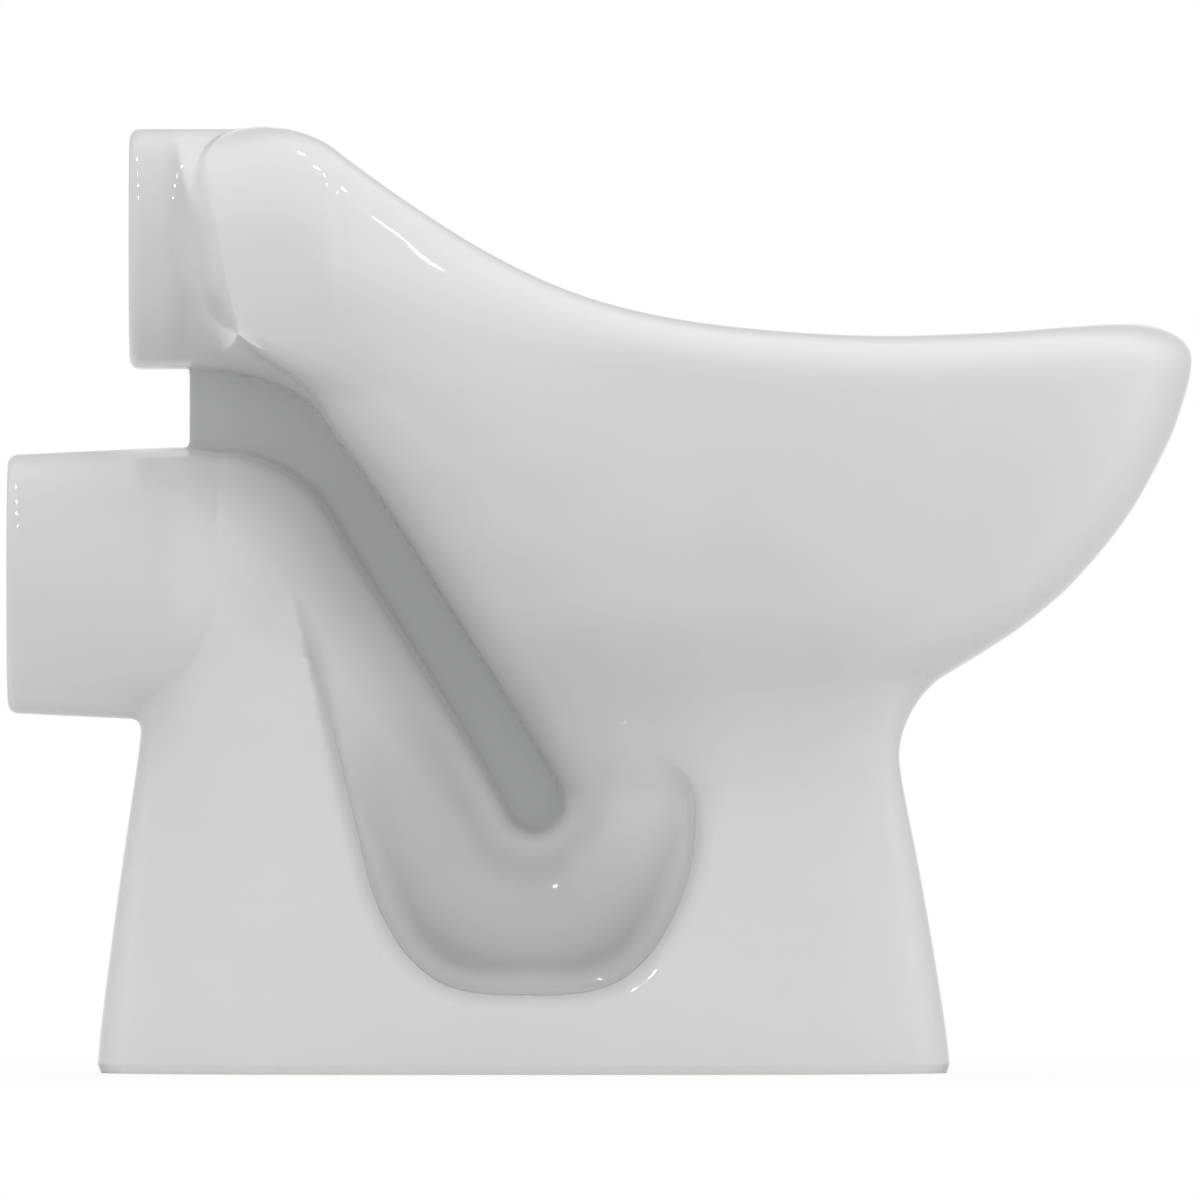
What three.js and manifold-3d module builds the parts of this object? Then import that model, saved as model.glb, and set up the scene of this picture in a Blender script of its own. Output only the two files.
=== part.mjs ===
// A floor-standing toilet pan in vitreous china: saddle rim with a raised hood, horizontal inlet and
// outlet, a P-trap with its bends in the open, and a flared pedestal recessed round the trap.
// Millimetres. x runs across the pan, y to the back, z up; the origin is on the floor, at mid length.
import * as THREE from "three";
import { mergeVertices } from "three/addons/utils/BufferGeometryUtils.js";
import Module from "manifold-3d";

const wasm = await Module();
wasm.setup();

// Rim and hood
const rimFront = 231; // nose of the rim, in front of the origin
const rimHalfWidth = 152;
const rimMidY = -40; // where the rim is widest
const rimLowRise = 96.3; // top of the rim at its lowest, above the outlet's axis
const hoodCover = 0.7; // the hood's crest, above the flush inlet's top
const hoodBack = 156; // back wall of the hood
const hoodTopLength = 26; // from the end of the climb to that wall
const hoodFullRise = 119.5; // the hood keeps its full plan from this far above the outlet's axis
const rimRoundWidth = 20; // outer round-over of the rim, across
const rimRoundDepth = 15; // and down
const rimInnerRoundWidth = 13; // inner round-over
const rimInnerRoundDepth = 9;
const openingFront = 189; // the opening in the rim
const openingBack = 78;
const openingHalfWidth = 109;
const openingMidY = -46;
const jointRise = 59.5; // level joint between rim and bowl, above the outlet's axis
const lipLift = 6; // end of the rim's inner lip, above that joint
const lipThickness = 8;
const roofThickness = 10; // over the rim's flush channel
const jointGap = 0.3; // slip joint between two cast sections

// Walls
const bowlWall = 11;
const trapWall = 9.5;
const pedestalWall = 10;

// Trap, in the middle plane of the pan
const dipCentreY = 25.5; // centre of the dip's bend
const dipCentreHeight = 105;
const dipRadius = 53.5; // of the bend's centreline
const dipHalfHeight = 41.5; // half the tube's outside, in the middle plane
const dipHalfWidth = 45; // and across
const throatHalfWidth = 49;
const elbowY = 148.3; // where the rising leg meets the outlet's axis
const elbowRadius = 51.8;
const legLowEnd = 6; // straight before the leg's lower joint
const legHighEnd = 60; // the leg stops this far before the elbow's centre

// Outlet
const outletHeight = 190.5;
const outletEnd = 231;
const outletRadius = 50.9;
const outletRootRadius = 53.2;
const outletRootY = 168; // joint between elbow and spigot
const outletEndRound = 4;

// Flush inlet
const hornRise = 130.6; // flush inlet's axis above the outlet's
const hornRadius = 46.9;
const hornBore = 27.5;
const hornLength = 27.5; // beyond the hood's back wall
const hornOverlap = 19; // how far forward of that wall it runs over and under the hood
const hornEndRound = 4;
const splitterHalfWidth = 30;
const splitterDepth = 20;
const splitterThickness = 7;
const splitterCover = 2.5; // between its top and the channel's roof

// Web between bowl, horn and rising leg
const webThickness = 20;
const webBackStep = 4; // the web stands this far behind the hood's back wall

// Pedestal and foot
const footFront = 136.9;
const footBack = 196.3;
const footHalfWidth = 100;
const footMidY = 22;
const footBevel = 3.5;
const footRingHeight = 14;
const footRingWidth = 21;
const neckHeight = 123; // level of the pedestal's waist at the front
const neckFront = 117;
const neckBack = 180.2;
const neckHalfWidth = 67;
const collarRise = 34.8; // from there up to where the front wall has spread under the bowl
const collarReach = 22.6; // how far it spreads there, to the front
const collarSpread = 19; // and to each side
const pedestalTopRise = 5.5; // the walls run up this far above the outlet's axis, inside the bowl
const pedestalTopHalfWidth = 45;
const pedestalTopBack = 177;
const recessCentreY = 28; // the U-shaped recess round the dip
const recessCentreHeight = 97;
const recessRadius = 65;
const recessTopFront = 38; // its sides at the top, in front of and behind the origin
const recessTopBack = 121;
const recessTopRise = 14.5; // above the outlet's axis
const recessRound = 7; // rolled edge where the recess breaks out of the pedestal's side
const overrun = 5; // cutters pass this far beyond what they cut
const weldDistance = 0.02; // corners that a cut leaves closer than this become one

// Places that follow from these
const collarHeight = neckHeight + collarRise;
const jointHeight = outletHeight + jointRise;
const rimLowHeight = outletHeight + rimLowRise;
const hoodFullHeight = outletHeight + hoodFullRise;
const hornHeight = outletHeight + hornRise;
const hoodHeight = hornHeight + hornRadius + hoodCover;
const pedestalTop = outletHeight + pedestalTopRise;
const recessTop = outletHeight + recessTopRise;
const hoodStartY = hoodBack - hoodTopLength;
const hornEnd = hoodBack + hornLength;
const hornReach = hoodBack - hornOverlap;
const webBack = hoodBack + webBackStep;

// Fineness
const halfTurnSteps = 28;
const tubeSteps = 20;

// Height of the rim's crest from nose to hood: [share of the length, share of the climb].
const saddleShares = [
  [0, 0.058], [0.07, 0.063], [0.134, 0.045], [0.222, 0.015], [0.35, 0], [0.48, 0.034],
  [0.588, 0.105], [0.675, 0.216], [0.761, 0.396], [0.847, 0.635], [0.912, 0.84],
  [0.934, 0.915], [0.966, 0.975], [1, 1],
];
// Outside of bowl and hood from the throat up to the full plan: share of the height, then how far
// front, back and half width have grown, then how square the back is and how much it tapers.
const bowlShares = [
  [0, 0, 0, 0, 2, 0], [0.044, 0.043, 0.032, 0.025, 2, 0], [0.068, 0.075, 0.053, 0.051, 2, 0],
  [0.122, 0.16, 0.102, 0.112, 2, 0], [0.18, 0.272, 0.155, 0.199, 2, 0],
  [0.22, 0.354, 0.192, 0.274, 2, 0], [0.258, 0.434, 0.227, 0.362, 2, 0],
  [0.296, 0.513, 0.263, 0.458, 2, 0], [0.334, 0.585, 0.298, 0.555, 2, 0],
  [0.372, 0.646, 0.332, 0.635, 2, 0], [0.41, 0.701, 0.367, 0.697, 2, 0],
  [0.488, 0.789, 0.436, 0.808, 2.1, 0], [0.561, 0.857, 0.503, 0.883, 2.2, 0.01],
  [0.639, 0.913, 0.578, 0.94, 2.5, 0.04], [0.707, 0.954, 0.646, 0.972, 2.9, 0.1],
  [0.77, 0.981, 0.691, 0.988, 3.4, 0.16], [0.82, 0.997, 0.733, 0.996, 3.9, 0.22],
  [0.839, 1, 0.772, 0.998, 4.1, 0.24], [0.868, 1, 0.845, 1, 4.4, 0.28],
  [0.927, 1, 0.957, 1, 4.8, 0.32], [1, 1, 1, 1, 5, 0.34],
];
// Levels of the loft's rings below the joint, as shares of throat to joint.
const bowlLevelShares = [
  0, 0.07, 0.17, 0.25, 0.31, 0.36, 0.46, 0.57, 0.68, 0.79, 0.9, 1,
];
// Levels of the rim's outer wall, as shares of joint to round-over.
const rimLevelShares = [0, 0.12, 0.22, 0.32, 0.43, 0.6, 1];
const rimInsideLevelShares = [1, 0.45, 0.22, 0];
// Steps round a quarter of a round-over.
const roundShares = [1, 0.96, 0.84, 0.6, 0.3, 0];
const innerRoundShares = [0, 0.4, 0.75, 0.95, 1];
const splitterFootShare = 0.4; // of the way from the lip's end up to the splitter's top
const frontSquareShare = 1.05; // of an ellipse's power of two
const pedestalSquareShare = 1.3;
// Pedestal from floor to waist: share of the height, then of the flare from waist to floor.
const flareShares = [[0, 1], [0.14, 0.9], [0.4, 0.65], [0.65, 0.38], [0.9, 0.09], [1, 0]];
// The front wall's spread under the bowl, from waist to collar: share of height, share of spread.
const collarShares = [[0, 0], [0.33, 0.035], [0.55, 0.19], [0.78, 0.5], [1, 1]];
// The back's closing on the outlet, from waist to top: share of height, share of the narrowing.
const closeShares = [[0, 0], [0.16, 0.07], [0.37, 0.17], [0.52, 0.27], [0.64, 0.45], [1, 1]];
const upperLevelShares = [0.32, 1]; // levels of the walls above the collar
// Rolled edge of the recess: how deep under the skin, and how far out, as shares of its radius.
const rollShares = [[1, 0], [0.62, 0.07], [0.29, 0.29], [0.07, 0.62], [0, 1]];

// Smooth curve through a table: its column at t, as a Catmull-Rom cubic.
function along(table, t, column = 1) {
  const last = table.length - 1;
  if (t <= table[0][0]) return table[0][column];
  if (t >= table[last][0]) return table[last][column];
  const i = table.findIndex((row) => row[0] > t) - 1;
  const slope = (k) => {
    const a = table[Math.max(k - 1, 0)], b = table[Math.min(k + 1, last)];
    return (b[column] - a[column]) / (b[0] - a[0]);
  };
  const [a, b] = [table[i], table[i + 1]];
  const h = b[0] - a[0], u = (t - a[0]) / h;
  const rise = b[column] - a[column];
  const s0 = slope(i) * h, s1 = slope(i + 1) * h;
  return a[column] + u * (s0 + u * (3 * rise - 2 * s0 - s1 + u * (s0 + s1 - 2 * rise)));
}
const lerp = THREE.MathUtils.lerp;

// Closed surface over rings of points: its first and last ring are capped, or joined to each other.
function loft(rings, joined = false) {
  const n = rings[0].length;
  const faces = [];
  for (let k = 0; k < rings.length - (joined ? 0 : 1); k++) {
    const low = k * n, high = ((k + 1) % rings.length) * n;
    for (let i = 0; i < n; i++) {
      const j = (i + 1) % n;
      faces.push(low + i, low + j, high + j, low + i, high + j, high + i);
    }
  }
  if (!joined) {
    for (const k of [0, rings.length - 1]) {
      const flat = flatten(rings[k]);
      const turn = Math.sign(THREE.ShapeUtils.area(flat));
      for (const face of THREE.ShapeUtils.triangulateShape(flat, [])) {
        const own = Math.sign(THREE.ShapeUtils.area(face.map((i) => flat[i])));
        const keep = (own === turn) === (k > 0);
        faces.push(...(keep ? face : [...face].reverse()).map((i) => k * n + i));
      }
    }
  }
  const made = new THREE.BufferGeometry().setFromPoints(rings.flat());
  made.setIndex(faces);
  return solid(made);
}

// A ring seen along the axis that it faces most.
function flatten(ring) {
  const facing = new THREE.Vector3();
  ring.forEach((p, i) => facing.add(new THREE.Vector3().crossVectors(p, ring[(i + 1) % ring.length])));
  const [x, y, z] = facing.toArray().map(Math.abs);
  if (z >= x && z >= y) return ring.map((p) => new THREE.Vector2(p.x, p.y));
  if (y >= x) return ring.map((p) => new THREE.Vector2(p.z, p.x));
  return ring.map((p) => new THREE.Vector2(p.y, p.z));
}

// A three.js geometry as a solid for joining and cutting, with its faces turned out.
function solid(geometry) {
  const bare = new THREE.BufferGeometry();
  bare.setAttribute("position", geometry.getAttribute("position").clone());
  if (geometry.index) bare.setIndex(geometry.index.clone());
  const merged = mergeVertices(bare);
  const whole = [];
  const index = merged.index.array;
  for (let i = 0; i < index.length; i += 3) {
    const [a, b, c] = index.slice(i, i + 3);
    if (a !== b && b !== c && c !== a) whole.push(a, b, c);
  }
  const vertProperties = new Float32Array(merged.getAttribute("position").array);
  const build = (triVerts) =>
    new wasm.Manifold(new wasm.Mesh({ numProp: 3, vertProperties, triVerts }));
  const made = build(new Uint32Array(whole));
  return made.volume() > 0 ? made : build(new Uint32Array(whole).reverse());
}

// The finished solid as a geometry. Corners that lie almost on each other are welded, and the
// slivers between them go.
function geometryOf(shape) {
  const { vertProperties, triVerts } = shape.getMesh();
  const corners = [];
  for (let i = 0; i < vertProperties.length; i += 3) {
    corners.push(new THREE.Vector3().fromArray(vertProperties, i));
  }
  const kept = corners.map((p, i) => {
    const first = corners.findIndex((q) => q.distanceTo(p) < weldDistance);
    return Math.min(first, i);
  });
  const faces = [];
  for (let i = 0; i < triVerts.length; i += 3) {
    const [a, b, c] = [...triVerts.slice(i, i + 3)].map((k) => kept[kept[k]]);
    if (a !== b && b !== c && c !== a) faces.push(a, b, c);
  }
  const made = new THREE.BufferGeometry().setFromPoints(corners);
  made.setIndex(faces);
  made.computeVertexNormals();
  return made;
}

// A solid of revolution about an axis along y: the profile gives radius and place on that axis.
function turned(profile, height) {
  const spun = new THREE.LatheGeometry(
    profile.map(([radius, place]) => new THREE.Vector2(radius, place)), 2 * tubeSteps);
  return solid(spun.translate(0, 0, height));
}

// Outside of bowl and hood

const throatY = dipCentreY - dipRadius;
const crestHeight = (y) =>
  lerp(rimLowHeight, hoodHeight, along(saddleShares, (y + rimFront) / (hoodStartY + rimFront)));

// The egg-shaped outline of the bowl at a level.
function bowlOutline(z) {
  const t = (z - dipCentreHeight) / (hoodFullHeight - dipCentreHeight);
  return {
    mid: lerp(throatY, rimMidY, along(bowlShares, t, 3)),
    front: lerp(dipHalfHeight - throatY, rimFront, along(bowlShares, t, 1)),
    back: lerp(throatY + dipHalfHeight, hoodBack, along(bowlShares, t, 2)),
    half: lerp(throatHalfWidth, rimHalfWidth, along(bowlShares, t, 3)),
    square: along(bowlShares, t, 4),
    taper: along(bowlShares, t, 5),
  };
}

// Point number i of an outline, counted from the nose; grow moves it out, away from the outline.
function outlinePoint(outline, i, z, grow = 0) {
  const angle = (i / halfTurnSteps - 1 / 2) * Math.PI;
  const c = Math.cos(angle), s = Math.sin(angle);
  const power = s < 0 ? 2 * frontSquareShare : outline.square;
  const r = (Math.abs(c) ** power + Math.abs(s) ** power) ** (-1 / power);
  const reach = s < 0 ? outline.front + outline.mid : outline.back - outline.mid;
  const narrowing = s < 0 ? 1 : 1 - outline.taper * (r * s) ** 2;
  return new THREE.Vector3(
    (outline.half * narrowing + grow) * r * c, outline.mid + (reach + grow) * r * s, z);
}
const ringNumbers = [...Array(2 * halfTurnSteps).keys()];
const outlineRing = (outline, z, grow = 0) =>
  ringNumbers.map((i) => outlinePoint(outline, i, z, grow));

// The basin's outline: the outside, moved in by the wall measured square to its slope.
function basinOutline(z) {
  const step = jointGap;
  const here = bowlOutline(z), above = bowlOutline(z + step), below = bowlOutline(z - step);
  const fade = Math.min(1, (z - dipCentreHeight) / (2 * bowlWall));
  const inset = (key) =>
    lerp(trapWall, bowlWall, fade) * Math.hypot(1, (fade * (above[key] - below[key])) / (2 * step));
  return {
    ...here,
    front: here.front - inset("front"),
    back: here.back - inset("back"),
    half: here.half - inset("half"),
  };
}

const bowlLevels = bowlLevelShares.map((share) => lerp(dipCentreHeight, jointHeight, share));
const bowl = loft([
  ...bowlLevels.map((z) => outlineRing(bowlOutline(z), z)),
  ...[...bowlLevels].reverse().map((z) => outlineRing(basinOutline(z), z)),
], true);

// What the bowl fills, with the joint's gap round it, to cut its neighbours.
const bowlSpace = loft([dipCentreHeight - jointGap, ...bowlLevels.slice(1), jointHeight + jointGap]
  .map((z) => outlineRing(bowlOutline(z), z, jointGap)));

// Rim: one section swept round the opening, its height following the saddle

const opening = {
  mid: openingMidY, front: openingFront, back: openingBack, half: openingHalfWidth,
  square: 2 * frontSquareShare, taper: 0,
};
// The rim's outer wall: a share of the way from the joint to where the round-over starts.
function rimWallPoint(i, share, grow = 0) {
  const edgeY = outlinePoint(bowlOutline(hoodHeight), i, hoodHeight).y;
  const z = lerp(jointHeight + jointGap, crestHeight(edgeY) - rimRoundDepth, share);
  return outlinePoint(bowlOutline(z), i, z, grow);
}
// A point of the rim's top, a distance in from its outer edge, some way below the crest.
function rimTopPoint(i, distance, drop) {
  const edge = rimWallPoint(i, 1), lip = outlinePoint(opening, i, edge.z);
  const p = edge.clone().lerp(lip, distance / edge.distanceTo(lip));
  return p.setZ(crestHeight(p.y) - drop);
}
const roundFall = (u, depth) => depth * (1 - Math.sqrt(1 - u * u));
const rimRoundPoints = (i) => roundShares.slice(1).map((u) =>
  rimTopPoint(i, rimRoundWidth * (1 - u), roundFall(u, rimRoundDepth)));
function rimSection(i) {
  const outer = (share, grow) => rimWallPoint(i, share, grow);
  const edge = outer(1);
  const width = edge.distanceTo(outlinePoint(opening, i, edge.z));
  const top = [
    ...rimRoundPoints(i),
    rimTopPoint(i, (rimRoundWidth + width - rimInnerRoundWidth) / 2, 0),
    ...innerRoundShares.map((u) => rimTopPoint(
      i, width - rimInnerRoundWidth * (1 - u), roundFall(u, rimInnerRoundDepth))),
  ];
  const lipEnd = jointHeight + lipLift;
  const lipOuter = outlinePoint(opening, i, lipEnd, lipThickness);
  const roofOf = (p) => new THREE.Vector3(p.x, p.y, crestHeight(p.y) - roofThickness);
  const wallTop = roofOf(outer(1, -pedestalWall));
  return [
    ...rimLevelShares.map((share) => outer(share)),
    ...top,
    outlinePoint(opening, i, lipEnd),
    lipOuter,
    roofOf(lipOuter),
    roofOf(lipOuter.clone().lerp(wallTop, 1 / 2)),
    wallTop,
    ...rimInsideLevelShares.slice(1).map((share) => outer(share, -pedestalWall)),
  ];
}
const hornHole = turned(
  [[0, hoodStartY - splitterDepth], [hornBore, hoodStartY - splitterDepth],
    [hornBore, hornEnd], [0, hornEnd]], hornHeight);
const rim = loft(ringNumbers.map(rimSection), true).subtract(hornHole);
// What rim and hood fill, with the joint's gap round them.
const rimSpace = loft([
  ...rimLevelShares.map((share) => ringNumbers.map((i) => rimWallPoint(i, share, jointGap))),
  ...roundShares.slice(1).map((u, k) => ringNumbers.map((i) => {
    const p = rimRoundPoints(i)[k];
    return p.setZ(p.z + jointGap);
  })),
]);

// Flush inlet and splitter

const quarter = (u) => [Math.sin((u * Math.PI) / 2), Math.cos((u * Math.PI) / 2)];
// A pipe's wall with a rounded outer end, as a closed profile of radius and place.
function pipeProfile(start, end, startRadius, endRadius, bore, round) {
  const nose = [1, 0.75, 0.5, 0.25, 0].map((u) => {
    const [s, c] = quarter(u);
    return [endRadius - round * (1 - s), end - round * (1 - c)];
  });
  return [[bore, start], [startRadius, start], ...nose, [bore, end], [bore, start]];
}
const horn = turned(
  pipeProfile(hornReach, hornEnd, hornRadius, hornRadius, hornBore, hornEndRound), hornHeight)
  .subtract(rimSpace);

// The vee's legs run on into the lip, which trims them to its curve.
const vee = new THREE.Shape();
const splitterTip = openingBack + lipThickness + splitterDepth;
const veeSlope = splitterDepth / splitterHalfWidth;
const veeReach = splitterHalfWidth + lipThickness;
vee.moveTo(0, splitterTip);
vee.lineTo(veeReach, splitterTip - veeReach * veeSlope);
vee.lineTo(veeReach - splitterThickness, splitterTip - veeReach * veeSlope);
vee.lineTo(0, splitterTip - splitterThickness);
vee.lineTo(splitterThickness - veeReach, splitterTip - veeReach * veeSlope);
vee.lineTo(-veeReach, splitterTip - veeReach * veeSlope);
const splitterTop = crestHeight(openingBack) - roofThickness - splitterCover;
const splitterFoot = lerp(jointHeight + lipLift, splitterTop, splitterFootShare);
const lipSpace = loft([splitterFoot - overrun, splitterTop + overrun]
  .map((z) => outlineRing(opening, z, lipThickness + jointGap)));
const splitter = solid(
  new THREE.ExtrudeGeometry(vee, { depth: splitterTop - splitterFoot, bevelEnabled: false })
    .translate(0, 0, splitterFoot)).subtract(lipSpace);

// Trap, swept in the middle plane: every section is an ellipse across the pan

const legRun = Math.hypot(elbowY - dipCentreY, outletHeight - dipCentreHeight);
const legAngle = Math.atan2(outletHeight - dipCentreHeight, elbowY - dipCentreY)
  + Math.asin(dipRadius / legRun);
const legDirection = new THREE.Vector3(0, Math.cos(legAngle), Math.sin(legAngle));
const legLength = Math.sqrt(legRun ** 2 - dipRadius ** 2);
const dipCentre = new THREE.Vector3(0, dipCentreY, dipCentreHeight);
const elbowCentre = new THREE.Vector3(0, elbowY, outletHeight);
const dipTurn = Math.PI / 2 + legAngle; // from straight down to the leg's climb

// A section of the tube: away is the direction in the middle plane, square to the flow.
function tubeRing(centre, away, halfHeight, halfWidth) {
  return [...Array(tubeSteps).keys()].map((i) => {
    const angle = (2 * Math.PI * i) / tubeSteps;
    return centre.clone()
      .addScaledVector(away, halfHeight * Math.cos(angle))
      .add(new THREE.Vector3(halfWidth * Math.sin(angle), 0, 0));
  });
}
// Share of the way round the bend, 0 at the throat and 1 at the leg.
function dipRing(share, grow) {
  const angle = Math.PI + share * dipTurn;
  const away = new THREE.Vector3(0, Math.cos(angle), Math.sin(angle));
  const half = lerp(throatHalfWidth, dipHalfWidth, Math.min(1, 2 * share));
  return tubeRing(dipCentre.clone().addScaledVector(away, dipRadius), away,
    dipHalfHeight + grow, half + grow);
}
const legAway = new THREE.Vector3(0, Math.sin(legAngle), -Math.cos(legAngle));
// A place on the leg, measured from its tangent point on the bend.
function legRing(place, grow) {
  const share = place / legLength;
  return tubeRing(elbowCentre.clone().addScaledVector(legDirection, place - legLength), legAway,
    lerp(dipHalfHeight, elbowRadius, share) + grow, lerp(dipHalfWidth, elbowRadius, share) + grow);
}
const dipSteps = 14;
const dipShares = [...Array(dipSteps + 1).keys()].map((k) => k / dipSteps);
const dipRings = (grow) => [...dipShares.map((share) => dipRing(share, grow)),
  legRing(legLowEnd, grow)];
const below = (rings) => rings.map((ring, k) =>
  (k === 0 ? ring.map((p) => p.clone().setZ(dipCentreHeight - jointGap)) : ring));
const trapDip = loft([...below(dipRings(0)), ...below(dipRings(-trapWall)).reverse()], true);

const legPlaces = [legLowEnd + jointGap, legLength - legHighEnd];
const legRings = (grow, places = legPlaces) => places.map((place) => legRing(place, grow));
const elbowBall = (radius) =>
  solid(new THREE.SphereGeometry(radius, tubeSteps, tubeSteps).rotateX(legAngle)
    .translate(...elbowCentre.toArray()));
const outletRod = (radius, start, end) =>
  turned([[0, start], [radius, start], [radius, end], [0, end]], outletHeight);
// Leg, ball and outlet as one solid, from the elbow's joint with the leg to a place on the outlet.
const elbowSolid = (grow, low, end) =>
  elbowBall(elbowRadius + grow)
    .add(loft(legRings(grow, [low, legLength])))
    .add(outletRod(outletRootRadius + grow, elbowY, end));
const risingLeg = loft([...legRings(0), ...legRings(-trapWall).reverse()], true);
const elbowLow = legLength - legHighEnd + jointGap;
const elbow = elbowSolid(0, elbowLow, outletRootY)
  .subtract(elbowSolid(-trapWall, elbowLow - overrun, outletEnd))
  .subtract(outletRod(outletRootRadius + overrun, outletRootY, outletEnd));

const spigot = turned(
  pipeProfile(outletRootY + jointGap, outletEnd, outletRootRadius, outletRadius,
    outletRootRadius - trapWall, outletEndRound), outletHeight);

// What the whole trap fills, with the joint's gap round it.
const trapSpace = loft([
  ...dipRings(jointGap), ...legRings(jointGap, [legLowEnd + overrun, elbowLow]),
]).add(elbowSolid(jointGap, elbowLow - overrun, outletEnd));

// Web panel: a plate in the middle plane, trimmed by all that it ties together

const hornSpace = turned([[0, hornReach - jointGap], [hornRadius + jointGap, hornReach - jointGap],
  [hornRadius + jointGap, hornEnd], [0, hornEnd]], hornHeight);
const webOutline = new THREE.Shape([
  new THREE.Vector2(dipCentreY, dipCentreHeight - dipHalfHeight),
  new THREE.Vector2(elbowY, outletHeight),
  new THREE.Vector2(webBack, outletHeight),
  new THREE.Vector2(webBack, hornHeight),
  new THREE.Vector2(hoodStartY, hornHeight),
  new THREE.Vector2(throatY, dipCentreHeight),
]);
// Extruded along z, then turned so that the outline lies in the middle plane.
const acrossPan = new THREE.Matrix4().makeBasis(
  new THREE.Vector3(0, 1, 0), new THREE.Vector3(0, 0, 1), new THREE.Vector3(1, 0, 0));
const web = solid(new THREE.ExtrudeGeometry(webOutline, { depth: webThickness, bevelEnabled: false })
  .translate(0, 0, -webThickness / 2).applyMatrix4(acrossPan))
  .subtract(bowlSpace).subtract(rimSpace).subtract(trapSpace).subtract(hornSpace);

// Pedestal

// Above the waist the front wall spreads to meet the bowl, and the back wall closes on the outlet.
function pedestalOutline(z) {
  const flare = along(flareShares, z / neckHeight);
  const collar = along(collarShares, (z - neckHeight) / (collarHeight - neckHeight));
  const close = Math.max(0, (z - neckHeight) / (pedestalTop - neckHeight));
  const half = lerp(neckHalfWidth, footHalfWidth, flare);
  return {
    mid: footMidY,
    front: lerp(neckFront, footFront, flare) + collar * collarReach,
    back: lerp(lerp(neckBack, footBack, flare), pedestalTopBack, close),
    frontHalf: half + collar * collarSpread,
    backHalf: lerp(half, pedestalTopHalfWidth, along(closeShares, close)),
  };
}
const pedestalRing = (z, grow = 0) => ringNumbers.map((i) => {
  const outline = pedestalOutline(z);
  const angle = (i / halfTurnSteps - 1 / 2) * Math.PI;
  const c = Math.cos(angle), s = Math.sin(angle);
  const power = 2 * pedestalSquareShare;
  const r = (Math.abs(c) ** power + Math.abs(s) ** power) ** (-1 / power);
  const reach = s < 0 ? outline.front + outline.mid : outline.back - outline.mid;
  const half = s < 0 ? outline.frontHalf : outline.backHalf;
  return new THREE.Vector3((half + grow) * r * c, outline.mid + (reach + grow) * r * s, z);
});
// Half width of the pedestal's side at a place on it.
function sideAt(y, z) {
  const outline = pedestalOutline(z);
  const front = y < outline.mid;
  const reach = front ? outline.front + outline.mid : outline.back - outline.mid;
  const s = Math.min(1, Math.abs(y - outline.mid) / reach);
  const power = 2 * pedestalSquareShare;
  return (front ? outline.frontHalf : outline.backHalf) * (1 - s ** power) ** (1 / power);
}
const pedestalLevelShares = [0, 0.2, 0.45, 0.7, 0.88, 1];
const pedestalBase = footRingHeight + jointGap;
const pedestalLevels = [
  ...pedestalLevelShares.map((share) => lerp(pedestalBase, neckHeight, share)),
  ...collarShares.slice(1).map(([share]) => lerp(neckHeight, collarHeight, share)),
  ...upperLevelShares.map((share) => lerp(collarHeight, pedestalTop, share))];
const pedestalBody = loft(pedestalLevels.map((z) => pedestalRing(z)));
const pedestalInside = loft(
  [pedestalBase - overrun, ...pedestalLevels.slice(1, -1), pedestalTop + overrun]
    .map((z) => pedestalRing(z, -pedestalWall)));

// The recess's U in the middle plane, grown by an amount.
function recessOutline(grow) {
  const steps = 20;
  const radius = recessRadius + grow;
  const bend = [...Array(steps + 1).keys()].map((k) => {
    const angle = Math.PI * (1 + k / steps);
    return [recessCentreY + radius * Math.cos(angle), recessCentreHeight + radius * Math.sin(angle)];
  });
  return [[-recessTopFront - grow, recessTop], ...bend, [recessTopBack + grow, recessTop]];
}
// Cutter for one side: it runs in from beyond the skin, with its edge rolled where it breaks out.
function recessCutter(side) {
  const ring = (grow, place) =>
    recessOutline(grow).map(([y, z]) => new THREE.Vector3(side * place(y, z), y, z));
  return loft([
    ring(0, () => 0),
    ...rollShares.map(([deep, out]) =>
      ring(recessRound * out, (y, z) => sideAt(y, z) - recessRound * deep)),
    ring(recessRound, () => footHalfWidth + overrun),
  ]);
}
const recessGrown = loft([-1, 1].map((side) => recessOutline(pedestalWall).map(
  ([y, z]) => new THREE.Vector3(side * footHalfWidth, y, z))));
const pedestal = pedestalBody
  .subtract(pedestalInside.subtract(recessGrown))
  .subtract(recessCutter(-1)).subtract(recessCutter(1))
  .subtract(bowlSpace).subtract(trapSpace);

const footLevels = [0, footBevel, footRingHeight];
const footRing = loft([
  ...footLevels.map((z) => pedestalRing(z, z ? 0 : -footBevel)),
  ...[...footLevels].reverse().map((z) => pedestalRing(z, -footRingWidth)),
], true);

// Assembly: glazed outside, one material for all that is fired as one

const glaze = new THREE.MeshStandardMaterial({ color: 0xe9e9e8, roughness: 0.12, metalness: 0 });
const pan = new THREE.Group();
function addSection(name, shape, parent = pan) {
  const mesh = new THREE.Mesh(geometryOf(shape), glaze);
  mesh.name = name;
  parent.add(mesh);
  return mesh;
}
const upper = new THREE.Group();
addSection("rim", rim, upper);
addSection("bowl", bowl, upper);
addSection("inlet_horn", horn, upper);
addSection("flush_splitter", splitter, upper);
const trap = new THREE.Group();
addSection("trap_dip", trapDip, trap);
addSection("trap_rising_leg", risingLeg, trap);
addSection("outlet_elbow", elbow, trap);
addSection("outlet_spigot", spigot, trap);
const base = new THREE.Group();
addSection("web_panel", web, base);
addSection("pedestal", pedestal, base);
addSection("foot_ring", footRing, base);
pan.add(upper, trap, base);

export default pan;
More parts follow.
